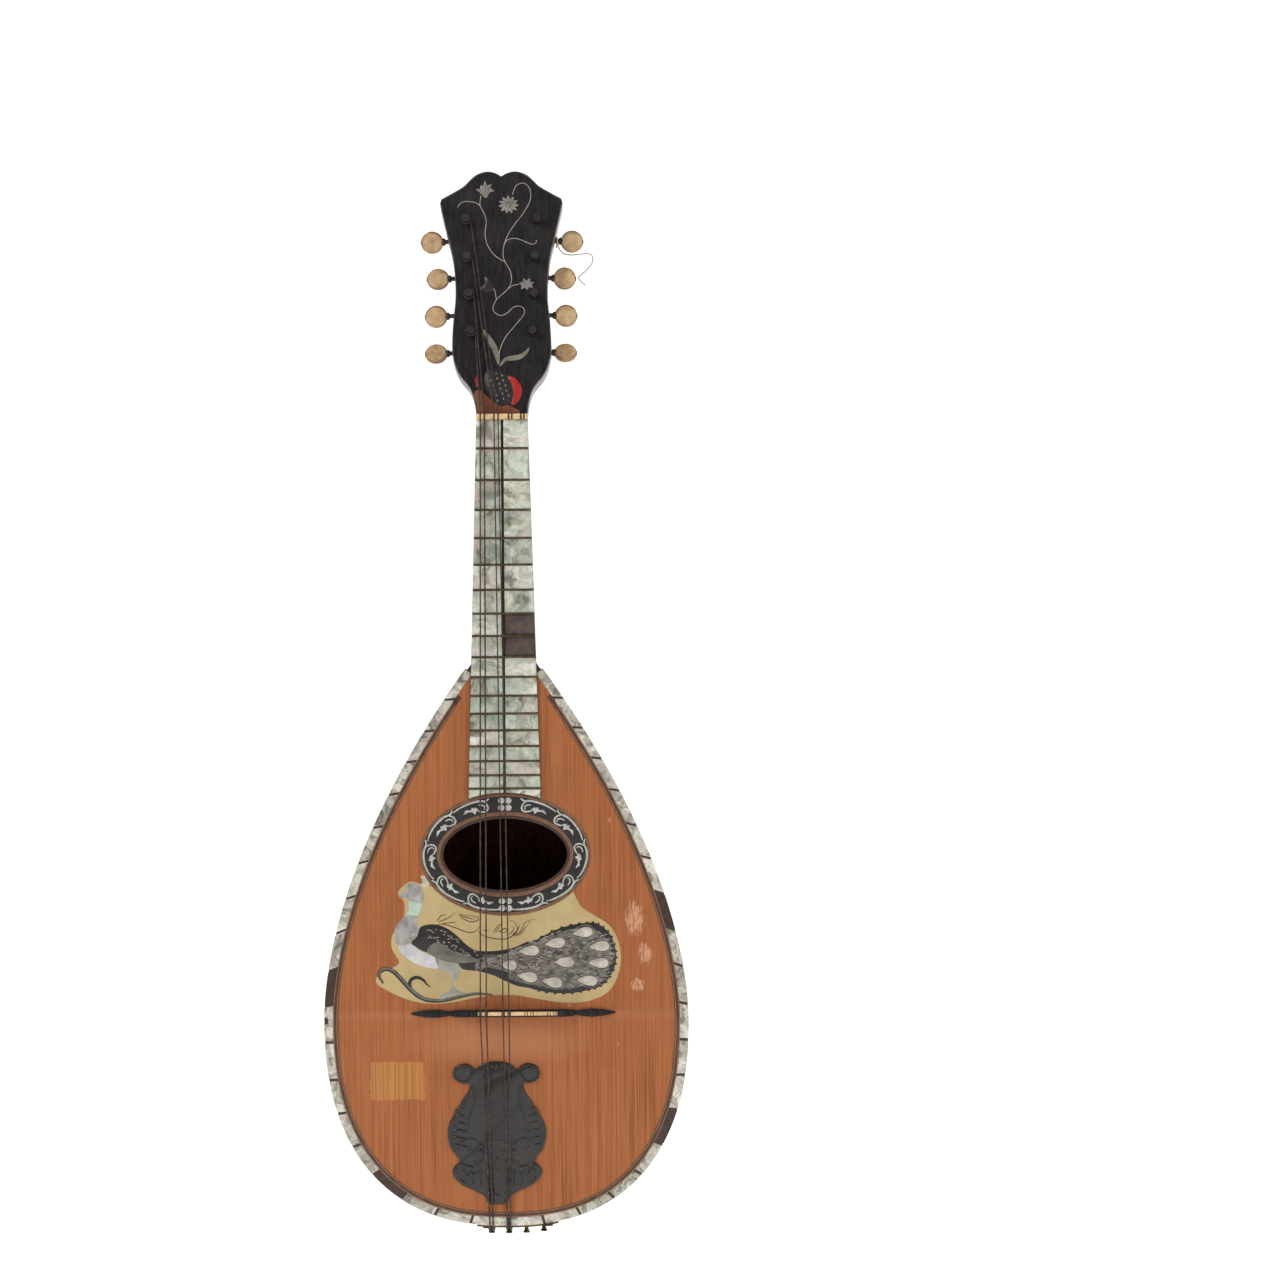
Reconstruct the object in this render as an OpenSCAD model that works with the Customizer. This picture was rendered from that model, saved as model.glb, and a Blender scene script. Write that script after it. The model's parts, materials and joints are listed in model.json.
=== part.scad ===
// Bowl-back mandolin, hung upright by the head: +Z runs up the neck, -Y faces the audience and
// +X is the treble side. The origin lies on the centre line, in the plane of the soundboard,
// inside the nut at the throat of the head. All sizes are in millimetres.

/* [Strings] */
// Speaking length of the strings, from nut to saddle
scale_length = 335; // [333:0.5:336]
// Number of frets on the fingerboard
fret_count = 17; // [12:1:17]
// Distance between neighbouring courses at the saddle
saddle_pitch = 12.8; // [11.6:0.1:12.9]
// Sideways place of the four courses at the saddle
saddle_shift = 6.5; // [4:0.1:7]

/* [Body] */
// Width of the body at its widest line
body_w = 204.6; // [200:0.2:208]
// Depth of the bowl behind the soundboard
bowl_depth = 138; // [125:1:145]
// Length of the body below its widest line
tail_len = 118; // [116:0.5:120]
// Number of staves in the bowl
rib_count = 23; // [15:2:27]
// Backward bend of the soundboard behind the bridge, in degrees
cant = 8; // [6:0.5:9]
// Thickness of the soundboard
top_t = 2.6; // [2.4:0.1:3]

/* [Neck and head] */
// Width of the fingerboard at the nut
nut_w = 28.8; // [28.4:0.1:29.6]
// Width of the fingerboard at the soundhole
board_end_w = 40.6; // [40:0.1:42]
// Backward tilt of the head, in degrees
head_tilt = 12; // [9:0.5:14]
// Thickness of the head with its veneer
head_t = 14; // [13:0.5:15]

/* [Tuning machines] */
// Teeth on each gear wheel
gear_teeth = 14; // [14:1:14]
// Distance between neighbouring posts
post_pitch = 21.7; // [21.2:0.1:22]
// Diameter of the round buttons
button_d = 12.8; // [12:0.1:13.4]

/* [Hidden] */
$fn = 32;
side_names = ["bass", "treble"];

// Colours
spruce = "#a8673a";
rosewood = "#4a2618";
ebony = "#221d1e";
pearl = "#c9c9b8";
bone = "#cdb98a";
brass = "#7d6a3c";
steel = "#5a534c";
ochre = "#bda56a";
maple = "#8a5a34";

// Body outline, seen from the front
belly_z = -scale_length - 3.2;
joint_z = belly_z + 200.2;
shoulder_len = 225;
shoulder_pow = 1.745;
tail_pow = 2.38;
binding_w = 4.9;
purfling_w = 2.7;
bowl_inset = 1.1;

// Bowl
rib_t = 1.6;
rib_gap = 0.07;
heel_depth = 30;
back_pow = 1.7;
back_tail_pow = 2.2;
section_pow = 2.15;
rib_end = 80;
inner_off = -bowl_inset - rib_t - 0.25;
// Drop from the front of the soundboard to the top of the ribs
rib_drop = top_t / cos(cant) + 0.02;
back_len = (belly_z - joint_z) / -pow(1 - heel_depth / bowl_depth, 1 / back_pow);

// Soundhole and fingerboard
hole_z = -246.5;
hole_size = [34.8, 20.1];
rosette_size = [48.1, 34.3];
inlay_depth = 0.9;
inlay_gap = 0.05;
board_t = 3;
pearl_t = 0.9;
board_end = hole_z + rosette_size[1];
// The nut stands from nut_front to nut_back; the board and its pearl start just below it.
nut_front = -2.6;
nut_back = 0.6;
nut_h = 4.7;

// Strings: bass side first; only the two bass courses are strung
nut_slots = [-12.1, -9.8, -4.4, -2.1, 3.8, 5.6, 10.7, 12.4];
saddle_pair = 3.4;
saddle_z = -scale_length - 0.5;
saddle_top = -9.6;
string_r = [0.42, 0.42, 0.36, 0.36];
strung_courses = 2;
slot_r = 0.47;
turn_y = -4.9;
turn_count = 3;
turn_pitch = 2.1;

// Tail
tail_z = belly_z - tail_len;
tail_y = tail_len * tan(cant);
hook_pitch = 9.8;
hook_shift = 5.2;
plate_half = 23;
plate_h = 24;
plate_gap = 0.1;
plate_out = 1.2;
tail_screw_x = 17.5;
tail_screw_y = [9, 19];
tail_screw_r = 1.3;
pin_r = 1.2;
pin_len = 3.7;
pin_root = 1;
pin_root_r = 1;
pin_stand = 0.3;
pin_y = tail_y + 8;

// Tuning machines
post_r = 2.2;
post_first = 47;
post_x = 17.4;
splay = 2.2;
post_height = 6.8;
machine_t = 1.2;
gear_gap = 0.25;
gear_t = 1.8;
gear_module = 0.75;
gear_tip_r = 5.75;
gear_root_r = 4.5;
worm_dist = 7.2;
worm_tip_r = 2.45;
shaft_r = 1.3;
thread_pitch = PI * gear_module;
gear_y = head_t + machine_t + gear_gap;
worm_y = gear_y + gear_t / 2;
ear_x = 4.9;
button_t = 3.4;
// How far out each button sits and how it is turned, bass side then treble side, counted up from the nut
button_x = [[20.1, 19.3, 17.4, 19.9], [18.5, 18.1, 16.6, 20]];
button_turns = [[-23, 27, -8, 27], [-28, 27, 7, 2]];

// ---- Curves -------------------------------------------------------------------------------------

function lerp(a, b, t) = a + (b - a) * t;

// A smooth closed or open curve through hand-placed points, with steps points on each stretch.
function curve_point(p0, p1, p2, p3, t) =
    0.5 * (2 * p1 + (p2 - p0) * t + (2 * p0 - 5 * p1 + 4 * p2 - p3) * t * t
           + (3 * p1 - p0 - 3 * p2 + p3) * t * t * t);
function smooth_open(p, steps) =
    let (n = len(p))
    [for (i = [0:n - 2]) for (k = [0:steps - 1])
        curve_point(p[max(i - 1, 0)], p[i], p[i + 1], p[min(i + 2, n - 1)], k / steps),
     p[n - 1]];

function ellipse(size, grow = 0, n = 72) =
    [for (i = [0:n - 1]) [(size[0] + grow) * cos(360 * i / n), (size[1] + grow) * sin(360 * i / n)]];

// Right-hand rim of the body: q runs from 0 at the neck to 1 at the widest line and 2 at the tail.
function rim_raw(q) =
    q <= 1
        ? let (z = lerp(joint_z, belly_z, q))
          [body_w / 2 * (1 - pow((z - belly_z) / shoulder_len, shoulder_pow)), z]
        : let (a = 90 * min(q - 1, 1))
          [body_w / 2 * pow(max(1 - pow(sin(a), tail_pow), 0), 1 / tail_pow),
           belly_z - tail_len * sin(a)];
function rim(q, off = 0) =
    let (p = rim_raw(q), a = rim_raw(max(q - 0.01, 0)), b = rim_raw(min(q + 0.01, 2)),
         d = (b - a) / norm(b - a), n = q >= 2 ? [0, -1] : q == 1 ? [1, 0] : [-d[1], d[0]])
    [max(p[0] + off * n[0], 0), p[1] + off * n[1]];

function rim_run(q0, q1, off, n) = [for (i = [0:n]) rim(lerp(q0, q1, i / n), off)];
function body_plan(off) = let (r = concat(rim_run(0, 1, off, 24), rim_run(1.03, 2, off, 30)))
    concat(r, [for (i = [len(r) - 2:-1:0]) [-r[i][0], r[i][1]]]);
// A band that follows the rim from q0 to q1, between two distances from it
function rim_band(q0, q1, off0, off1, n) =
    concat(rim_run(q0, q1, off0, n), [for (i = [n:-1:0]) rim(lerp(q0, q1, i / n), off1)]);

// ---- Building blocks ----------------------------------------------------------------------------

// A solid through a list of rings with the same number of points.
module skin(rings) {
    n = len(rings[0]);
    m = len(rings);
    sides = [for (i = [0:m - 2]) for (j = [0:n - 1])
        let (a = i * n + j, b = i * n + (j + 1) % n) each [[a, b, b + n], [a, b + n, a + n]]];
    polyhedron([for (r = rings) each r],
               concat([[for (j = [n - 1:-1:0]) j]], sides, [[for (j = [0:n - 1]) (m - 1) * n + j]]),
               convexity = 8);
}

// A thin solid between an outer and an inner grid of points with the same rows and columns.
module sheet(outer, inner) {
    m = len(outer);
    n = len(outer[0]);
    base = m * n;
    faces = [for (i = [0:m - 2]) for (j = [0:n - 2])
        let (a = i * n + j, b = a + 1, c = a + n + 1, d = a + n)
        each [[a, b, c], [a, c, d],
              [base + a, base + c, base + b], [base + a, base + d, base + c]]];
    ends = [for (j = [0:n - 2])
        let (a = j, b = j + 1, c = (m - 1) * n + j, d = c + 1)
        each [[a, base + a, base + b], [a, base + b, b], [c, d, base + d], [c, base + d, base + c]]];
    edges = [for (i = [0:m - 2])
        let (a = i * n, b = a + n, c = a + n - 1, d = c + n)
        each [[a, b, base + b], [a, base + b, base + a], [c, base + d, d], [c, base + c, base + d]]];
    polyhedron(concat([for (r = outer) each r], [for (r = inner) each r]), concat(faces, ends, edges),
               convexity = 8);
}

// Keeps the direction of an end of a route from being a zero vector
nudge = [0, 0, 1e-9];
function unit(v) = v / norm(v);
// A round tube along a list of points; its rings stand square to the route.
function tube_rings(route, r, sides) =
    let (n = len(route))
    [for (i = [0:n - 1])
        let (d = unit(unit(route[min(i + 1, n - 1)] - route[max(i, 1) - (i == 0 ? 1 : 0)] + nudge)
                      + unit(route[max(i, 1)] - route[max(i - 1, 0)] + nudge)),
             e = abs(d[0]) > 0.9 ? [0, 1, 0] : [1, 0, 0],
             u = unit(cross(d, e)), v = cross(d, u))
        [for (j = [0:sides - 1]) let (turn = 360 * j / sides)
            route[i] + r * (cos(turn) * u + sin(turn) * v)]];
module tube(route, r, sides = 8)
    skin([for (ring = tube_rings(route, r, sides)) [for (j = [sides - 1:-1:0]) ring[j]]]);

// Raises a shape drawn in the plan (X, Z), from depth y1 forward to depth y0.
module upper(y0, y1) translate([0, y1, 0]) rotate([90, 0, 0]) linear_extrude(y1 - y0) children();

// The same on the bent plane of the soundboard, which leans back below the widest line.
module bent(y0, y1) {
    reach = 160;
    function bend(y) = [y, belly_z + y * tan(cant / 2)];
    function foot(y) = [bend(y)[0] + reach * tan(cant), bend(y)[1] - reach];
    intersection() {
        upper(-20, 60) children();
        translate([-150, 0, 0]) rotate([90, 0, 90]) linear_extrude(300)
            polygon([[y0, 0], bend(y0), foot(y0), foot(y1), bend(y1), [y1, 0]]);
    }
}

// ---- Body ---------------------------------------------------------------------------------------

// A point on the bowl: q as on the rim, turn from 0 at the treble rim over the back to 180 at the
// bass rim.
function bowl(q, turn, off) =
    let (a = 90 * max(q - 1, 0),
         z = q <= 1 ? lerp(joint_z, belly_z, q) : belly_z - (tail_len + off) * sin(a),
         s = max(z - belly_z, 0),
         w = q <= 1 ? body_w / 2 * (1 - pow(s / shoulder_len, shoulder_pow)) + off
                    : (body_w / 2 + off) * pow(1 - pow(sin(a), tail_pow), 1 / tail_pow),
         y0 = max(belly_z - z, 0) * tan(cant) + rib_drop,
         tail_curve = pow(1 - pow(sin(a), back_tail_pow), 1 / back_tail_pow),
         deep = q <= 1 ? bowl_depth * (1 - pow(s / back_len, back_pow)) + off
                       : y0 + (bowl_depth + off - y0) * tail_curve)
    [w * sign(cos(turn)) * pow(abs(cos(turn)), 2 / section_pow),
     y0 + (deep - y0) * pow(sin(turn), 2 / section_pow), z];

bowl_stations = concat([for (i = [0:8]) i / 8], [for (a = [10:10:rib_end]) 1 + a / 90]);

module soundboard() color(spruce) difference() {
    bent(0, top_t) polygon(body_plan(-binding_w - inlay_gap));
    translate([0, 0, hole_z]) upper(-1, top_t + 1) polygon(ellipse(hole_size));
    translate([0, 0, hole_z]) upper(-1, inlay_depth) polygon(ellipse(rosette_size));
    upper(-1, inlay_depth) pickguard_plan();
    bent(-1, inlay_depth) purfling_plan(0, -binding_w - purfling_w - inlay_gap);
}

module bowl_ribs() color(rosewood)
    for (k = [0:rib_count - 1]) {
        a = 180 * k / rib_count + (k == 0 ? 0 : rib_gap);
        b = 180 * (k + 1) / rib_count - (k == rib_count - 1 ? 0 : rib_gap);
        skin([for (q = bowl_stations)
            [bowl(q, a, -bowl_inset), bowl(q, b, -bowl_inset),
             bowl(q, b, -bowl_inset - rib_t), bowl(q, a, -bowl_inset - rib_t)]]);
    }

// A filled slice of the bowl's inside between two stations.
module bowl_slice(stations, off)
    skin([for (q = stations) [for (t = [0:15:180]) bowl(q, t, off)]]);

module neck_block() color(maple) bowl_slice([0, 0.125], inner_off);
module tail_block() color(maple) bowl_slice([for (a = [60, 70, 80, 86]) 1 + a / 90], inner_off);

// The clasp is a veneer bent over the tail end of the ribs.
clasp_stations = [for (a = [52, 58, 64, 70, 75, 80, 84, 87]) 1 + a / 90];
clasp_gap = 0.25;
function clasp_grid(off) =
    [for (q = clasp_stations) [for (k = [0:rib_count]) bowl(q, 180 * k / rib_count, off)]];
module end_clasp() color(rosewood) sheet(clasp_grid(0), clasp_grid(-bowl_inset + clasp_gap));

// Strips glued round the inside of the rim, under the soundboard
lining_span = [0.18, 1.62];
lining_size = [4.5, 5];
lining_off = -bowl_inset - rib_t - 1;
module linings() color(maple) for (m = [0, 1]) mirror([m, 0, 0]) bent(top_t, top_t + lining_size[1])
    polygon(rim_band(lining_span[0], lining_span[1], lining_off, lining_off - lining_size[0], 22));

// Bars glued across the inside of the soundboard, stopping short of the linings
brace_places = [43, -38, -74];
brace_size = [6, 8];
brace_inset = 11.8;
module braces() color(maple)
    for (place = brace_places) {
        z = hole_z + place;
        half = body_w / 2 * (1 - pow((z - belly_z) / shoulder_len, shoulder_pow)) - brace_inset;
        translate([-half, top_t, z - brace_size[0] / 2]) cube([2 * half, brace_size[1], brace_size[0]]);
    }

// Pearl blocks laid end to end round the edge, with a thin dark joint between them
upper_blocks = 13;
tail_blocks = 10;
block_gap = 0.45;
module edge_binding() color(pearl) for (m = [0, 1]) mirror([m, 0, 0]) bent(-0.1, top_t) {
    for (i = [0:upper_blocks - 1]) polygon(binding_block(upper_q(i), upper_q(i + 1)));
    for (i = [0:tail_blocks - 1]) polygon(binding_block(tail_q(i), tail_q(i + 1)));
}
// Where each block starts along the rim; the angle runs faster than the rim round the tail.
function upper_q(i) = lerp(0.02, 1, i / upper_blocks);
function tail_q(i) =
    let (t = i / tail_blocks) 1 + 0.998 * lerp(t, pow(t, 0.8), 0.6);
function binding_block(q0, q1) =
    let (gap = block_gap / norm(rim_raw(q1) - rim_raw(q0)))
    rim_band(lerp(q0, q1, gap), lerp(q1, q0, gap), 0, -binding_w, 3);

// The dark line inlaid beside the pearl edge lies in a step cut round the edge of the soundboard.
purfling_start = 0.08;
function purfling_run(off) = concat(rim_run(purfling_start, 1, off, 24), rim_run(1.04, 2, off, 24));
module purfling_plan(off0, off1) {
    r = purfling_run(off0);
    n = purfling_run(off1);
    polygon(concat(r, [for (i = [len(r) - 2:-1:0]) [-r[i][0], r[i][1]]],
                   [for (i = [0:len(n) - 1]) [-n[i][0], n[i][1]]], [for (i = [len(n) - 2:-1:0]) n[i]]));
}
module purfling() color(rosewood) bent(-0.1, inlay_depth)
    purfling_plan(-binding_w - 2 * inlay_gap, -binding_w - purfling_w);

module rosette() color(ebony) translate([0, 0, hole_z]) difference() {
    upper(-0.2, inlay_depth) polygon(ellipse(rosette_size, -inlay_gap));
    upper(-1, 2) polygon(ellipse(hole_size));
}

// The inlaid guard under the strings: bird at the left, fan of a tail at the right
guard_points = [
    [-42, -264], [-48, -262.5], [-54, -261.5], [-60.5, -267.5], [-57, -273], [-57.5, -282],
    [-63.5, -291], [-64, -299], [-60, -307], [-68, -311.5], [-72.8, -315.5], [-71, -320],
    [-57, -327], [-44, -330],
    [-29, -329.2], [-18, -327], [-7, -325.6], [4, -325.5], [17, -327.6], [31, -329.8], [45, -329.4],
    [56, -325], [62, -317], [64.5, -306], [63, -295], [58, -286.5], [49, -280.5], [42, -275.5], [37.5, -266]];
module pickguard_plan() difference() {
    polygon(concat(smooth_open(guard_points, 4), [[0, -255]]));
    translate([0, hole_z]) polygon(ellipse(rosette_size, 0.1));
}
module pickguard() color(ochre) upper(0, inlay_depth) offset(delta = -inlay_gap) pickguard_plan();

// ---- Bridge, guard and tail ---------------------------------------------------------------------

bridge_shift = 3.9;
bridge_half = 57.5;
// Front view of the bridge, half of it: a bar that swells into a lance at its end
bridge_front = [
    [0, 2.1], [30, 2.1], [33, 1.5], [35, 1.2], [39, 1.8], [44, 2.3], [50, 1.9], [55, 0.9],
    [bridge_half, 0.15]];
// View of the bridge from the nut: height above the soundboard, with shallow arches underneath
bridge_side = [
    [-bridge_half, 0], [-40, 0], [-38, 1.2], [-24, 1.2], [-22, 0], [-12, 0], [-10, 1.6], [10, 1.6],
    [12, 0], [22, 0], [24, 1.2], [38, 1.2], [40, 0], [bridge_half, 0],
    [bridge_half, 1.1], [48, 2.6], [34, 2.6], [28, 5.6], [-28, 5.6], [-34, 2.6], [-48, 2.6],
    [-bridge_half, 1.1]];
saddle_half = 22.2;

module bridge_base() color(ebony) translate([bridge_shift, 0, saddle_z]) difference() {
    intersection() {
        half = smooth_open(bridge_front, 2);
        upper(-10, -0.02)
            polygon(concat(half, [for (i = [len(half) - 1:-1:0]) [half[i][0], -half[i][1]]],
                           [for (p = half) if (p[0] > 0) [-p[0], -p[1]]],
                           [for (i = [len(half) - 1:-1:1]) [-half[i][0], half[i][1]]]));
        rotate([0, 0, 180]) translate([0, 0.02, -4]) linear_extrude(8)
            polygon([for (p = bridge_side) [-p[0], p[1]]]);
    }
    translate([saddle_shift - bridge_shift - saddle_half - 0.05, -8, -1.05])
        cube([2 * saddle_half + 0.1, 4.5, 2.1]);
}

module bridge_saddle() color(bone) difference() {
    translate([saddle_shift - saddle_half, saddle_top - 0.35, saddle_z - 1]) cube([2 * saddle_half, 6, 2]);
    for (c = [0:3]) for (s = [-1, 1])
        translate([saddle_x(c, s), saddle_top - 0.3, saddle_z - 2]) {
            cylinder(r = slot_r, h = 4);
            translate([-slot_r, -2, 0]) cube([2 * slot_r, 2, 4]);
        }
}

// Half of the lyre, from the middle of its crest down to its foot
lyre_points = [
    [0, 0], [5, -0.5], [9, -2.2], [11.6, -4.3], [14.2, -2.2], [18, -1.1], [22.6, -2.6],
    [24.3, -6.4], [22.8, -10.2], [19.4, -11.9], [15.4, -12.2], [15.9, -17], [18.8, -21.2],
    [23, -28.4], [26.6, -34.9], [27.7, -41.4], [26, -49.2], [21.2, -56.1], [24.4, -60],
    [24.8, -64.6], [19.6, -70], [11.6, -73.8], [7.2, -76.7], [5, -80.6], [0, -81]];
lyre_shift = -5.9;
lyre_top = -24.5;
lyre_t = 1.5;
module lyre_guard() color(ebony) translate([lyre_shift, 0, 0]) {
    half = smooth_open(lyre_points, 3);
    bent(-lyre_t, -0.02) translate([0, belly_z + lyre_top])
        polygon(concat(half, [for (i = [len(half) - 2:-1:1]) [-half[i][0], half[i][1]]]));
}

// Rise of the tail's curve at x, and the height of the plate's outer face there
function tail_drop(x) =
    tail_len * (1 - pow(1 - pow(abs(x) / (body_w / 2), tail_pow), 1 / tail_pow));
function plate_z(x) = tail_z + tail_drop(x) - plate_out;

// A brass band bent round the tail below the edge binding
module tailpiece() color(brass) difference() {
    intersection() {
        translate([0, tail_y + top_t + plate_h, 0]) rotate([90, 0, 0]) linear_extrude(plate_h)
            difference() {
                polygon(tail_plan(plate_out));
                polygon(tail_plan(plate_gap));
            }
        translate([hook_shift - plate_half, 0, tail_z - 10]) cube([2 * plate_half, 100, 30]);
    }
    tail_screws(tail_screw_r, -3, 8);
    pin_roots(1);
}
function tail_plan(off) =
    let (r = rim_run(1.6, 2, off, 24)) concat(r, [for (i = [len(r) - 2:-1:0]) [-r[i][0], r[i][1]]]);
// Puts its children at each of the plate's four screws, on its outer face
module at_tail_screws() for (side = [-1, 1]) for (y = tail_screw_y) {
    x = hook_shift + side * tail_screw_x;
    translate([x, tail_y + top_t + y, plate_z(x)]) children();
}
module tail_screws(r, z0, z1) at_tail_screws() translate([0, 0, z0]) cylinder(r = r, h = z1 - z0);

module at_pins() for (c = [0:3]) translate([hook_x(c), pin_y, plate_z(hook_x(c))]) children();
module pin_roots(low) at_pins() translate([0, 0, -low]) cylinder(r = pin_root_r, h = low + pin_root);

// Each pin has a thin root pressed into the plate and a thicker end that carries the string's loop.
module hitch_pins() color(brass) {
    pin_roots(pin_stand);
    at_pins() translate([0, 0, -pin_len]) cylinder(r = pin_r, h = pin_len - pin_stand);
}

// ---- Neck and fingerboard -----------------------------------------------------------------------

function board_half(z) = lerp(nut_w, board_end_w, -z / -board_end) / 2;
heel_z = -95;
function neck_depth(z) =
    z > heel_z ? lerp(15, 20, z / heel_z)
               : 20 + (heel_depth - 21) * pow((heel_z - z) / (heel_z - joint_z), 2);

// Bottom of the neck's curved back at turn 0 to 180; slope tips the ring to meet the head squarely.
function neck_ring(z, slope) =
    let (h = board_half(min(z, 0)), d = slope > 0 ? head_t * cos(head_tilt) : neck_depth(z))
    [for (t = [0:15:180])
        let (y = d * pow(sin(t), 0.85))
        [h * sign(cos(t)) * pow(abs(cos(t)), 0.8), y, z - slope * y]];
neck_stations = [joint_z, joint_z + 8, joint_z + 16, joint_z + 26, heel_z, -60, -30, -10];
module neck() color(rosewood)
    skin([for (r = concat([for (z = neck_stations) neck_ring(z, 0)], [neck_ring(nut_back, tan(head_tilt))]))
        [for (i = [len(r) - 1:-1:0]) r[i]]]);

function fret_z(n) = -scale_length * (1 - pow(2, -n / 12));
module board_plan(end) difference() {
    start = nut_front - 0.02;
    polygon([[-board_half(start), start], [board_half(start), start],
             [board_half(end), end], [-board_half(end), end]]);
    translate([0, hole_z]) polygon(ellipse(rosette_size, 0.1));
}
module fingerboard() color(ebony) {
    difference() {
        upper(pearl_t - board_t, 0) board_plan(board_end - 4);
        for (n = [1:fret_count]) translate([-30, -board_t - 1, fret_z(n) - 0.3]) cube([60, 2.4, 0.6]);
    }
    difference() {
        upper(-board_t, pearl_t - board_t) intersection() {
            board_plan(board_end - 4);
            polygon([[-0.7, nut_front - 0.02], [0.7, nut_front - 0.02],
                     [0.7, board_end - 4], [-0.7, board_end - 4]]);
        }
        for (n = [1:fret_count]) translate([-30, -board_t - 1, fret_z(n) - 0.3]) cube([60, 2.4, 0.6]);
    }
}

module frets() color(brass)
    for (n = [1:fret_count]) {
        h = board_half(fret_z(n)) - 0.3;
        translate([0, 0, fret_z(n)]) intersection() {
            union() {
                translate([-h, -board_t - 0.02, 0]) rotate([0, 90, 0]) cylinder(r = 0.62, h = 2 * h);
                translate([-h, -board_t - 0.1, -0.25]) cube([2 * h, 1.4, 0.5]);
            }
            translate([-h, -board_t - 2, -2]) cube([2 * h, 1.98, 4]);
        }
        translate([-h, -board_t - 0.02, fret_z(n) - 0.25]) cube([2 * h, 1.36, 0.5]);
    }

// Two columns of pearl between the frets; two plates on the treble side are lost and bare the wood.
lost_plates = [7, 8];
module pearl_plates() color(pearl)
    for (n = [0:fret_count]) for (side = [-1, 1])
        if (side < 0 || n != lost_plates[0] && n != lost_plates[1]) {
            z0 = n == 0 ? nut_front - 0.1 : fret_z(n) - 0.7;
            z1 = n == fret_count ? board_end - 4 : fret_z(n + 1) + 0.7;
            upper(-board_t, pearl_t - board_t) difference() {
                polygon([[side * 0.8, z0], [side * (board_half(z0) - 0.1), z0],
                         [side * (board_half(z1) - 0.1), z1], [side * 0.8, z1]]);
                translate([0, hole_z]) polygon(ellipse(rosette_size, 0.3));
            }
        }

module nut() color(bone) difference() {
    translate([-nut_w / 2, -nut_h, nut_front]) cube([nut_w, nut_h - 0.02, nut_back - nut_front - 0.02]);
    for (x = nut_slots)
        translate([x, -nut_h + 0.3, nut_front - 1]) {
            cylinder(r = slot_r, h = 6);
            translate([-slot_r, -2, 0]) cube([2 * slot_r, 2, 6]);
        }
}

// ---- Head ---------------------------------------------------------------------------------------

// Everything on the head is drawn with Z up the head's face and Y into it.
module on_head() translate([0, 0, nut_back]) rotate([-head_tilt, 0, 0]) children();
function from_head(p) = [p[0], p[1] * cos(head_tilt) + p[2] * sin(head_tilt),
                         nut_back - p[1] * sin(head_tilt) + p[2] * cos(head_tilt)];

// Half of the head's outline, from the nut up to the notch between its two humps
head_sides = [
    [nut_w / 2, 0], [15.5, 8], [18, 15], [23.4, 22], [26.5, 29], [27.9, 38], [27.3, 53], [25.9, 69],
    [27, 87.5], [29.9, 101.5], [32.7, 113.5], [34.6, 122.5]];
head_crest = [
    [33.8, 125], [27.6, 128.5], [21.1, 132.5], [17.8, 136], [13.8, 139.3], [8.5, 141],
    [3.9, 140.3], [0, 138]];
veneer_t = 1.2;

module head_plan() {
    half = concat(smooth_open(head_sides, 4), smooth_open(head_crest, 4));
    polygon(concat(half, [for (i = [len(half) - 2:-1:0]) [-half[i][0], half[i][1]]]));
}
// Puts its children at one post: bass side 0, treble side 1, counted up from the nut.
module at_post(side, i)
    on_head() mirror([1 - side, 0, 0]) translate([post_x, 0, post_first]) rotate([0, splay, 0])
        translate([0, 0, (i - 1) * post_pitch]) children();
module post_holes() for (side = [0, 1]) for (i = [1:4]) at_post(side, i)
    translate([0, -1, 0]) rotate([-90, 0, 0]) cylinder(r = post_r + 0.2, h = head_t + 2);

module headstock() color(rosewood) difference() {
    on_head() upper(veneer_t, head_t) head_plan();
    post_holes();
    screw_spots() along_y(0.95, head_t - 7, head_t + 1);
    at_worms() along_x(worm_tip_r + 0.15, -worm_room, worm_room);
}
module head_veneer() color(ebony) difference() {
    on_head() upper(0, veneer_t) head_plan();
    post_holes();
}

// ---- Tuning machines ----------------------------------------------------------------------------

module along_y(r, y0, y1) translate([0, y0, 0]) rotate([-90, 0, 0]) cylinder(r = r, h = y1 - y0);
module along_x(r, x0, x1) translate([x0, 0, 0]) rotate([0, 90, 0]) cylinder(r = r, h = x1 - x0);

plate_low = -15.4;
plate_high = 3 * post_pitch + 9.5;
screw_x = -4.4;
plate_screws = concat(plate_low + 3.6, [for (i = [0:2]) i * post_pitch + 8.85], plate_high - 3);
module screw_spots() for (side = [0, 1]) at_post(side, 1) for (z = plate_screws)
    translate([screw_x, 0, z]) children();

// Puts its children on the axis of every worm; the room a worm's thread takes up along its axis
worm_room = 4.25;
module at_worm(side, i) at_post(side, i) translate([0, worm_y, -worm_dist]) children();
module at_worms() for (side = [0, 1]) for (i = [1:4]) at_worm(side, i) children();

// One strip of brass for the four machines of a side, with a pair of ears for each worm shaft
ear_r = 2.4;
ear_w = 1.2;
module ear_pair() for (x = [-ear_x, ear_x]) translate([x - ear_w / 2, 0, 0]) {
    foot = worm_y - head_t - machine_t + 0.3;
    translate([0, -foot, -ear_r]) cube([ear_w, foot, 2 * ear_r]);
    along_x(ear_r, 0, ear_w);
}

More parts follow.
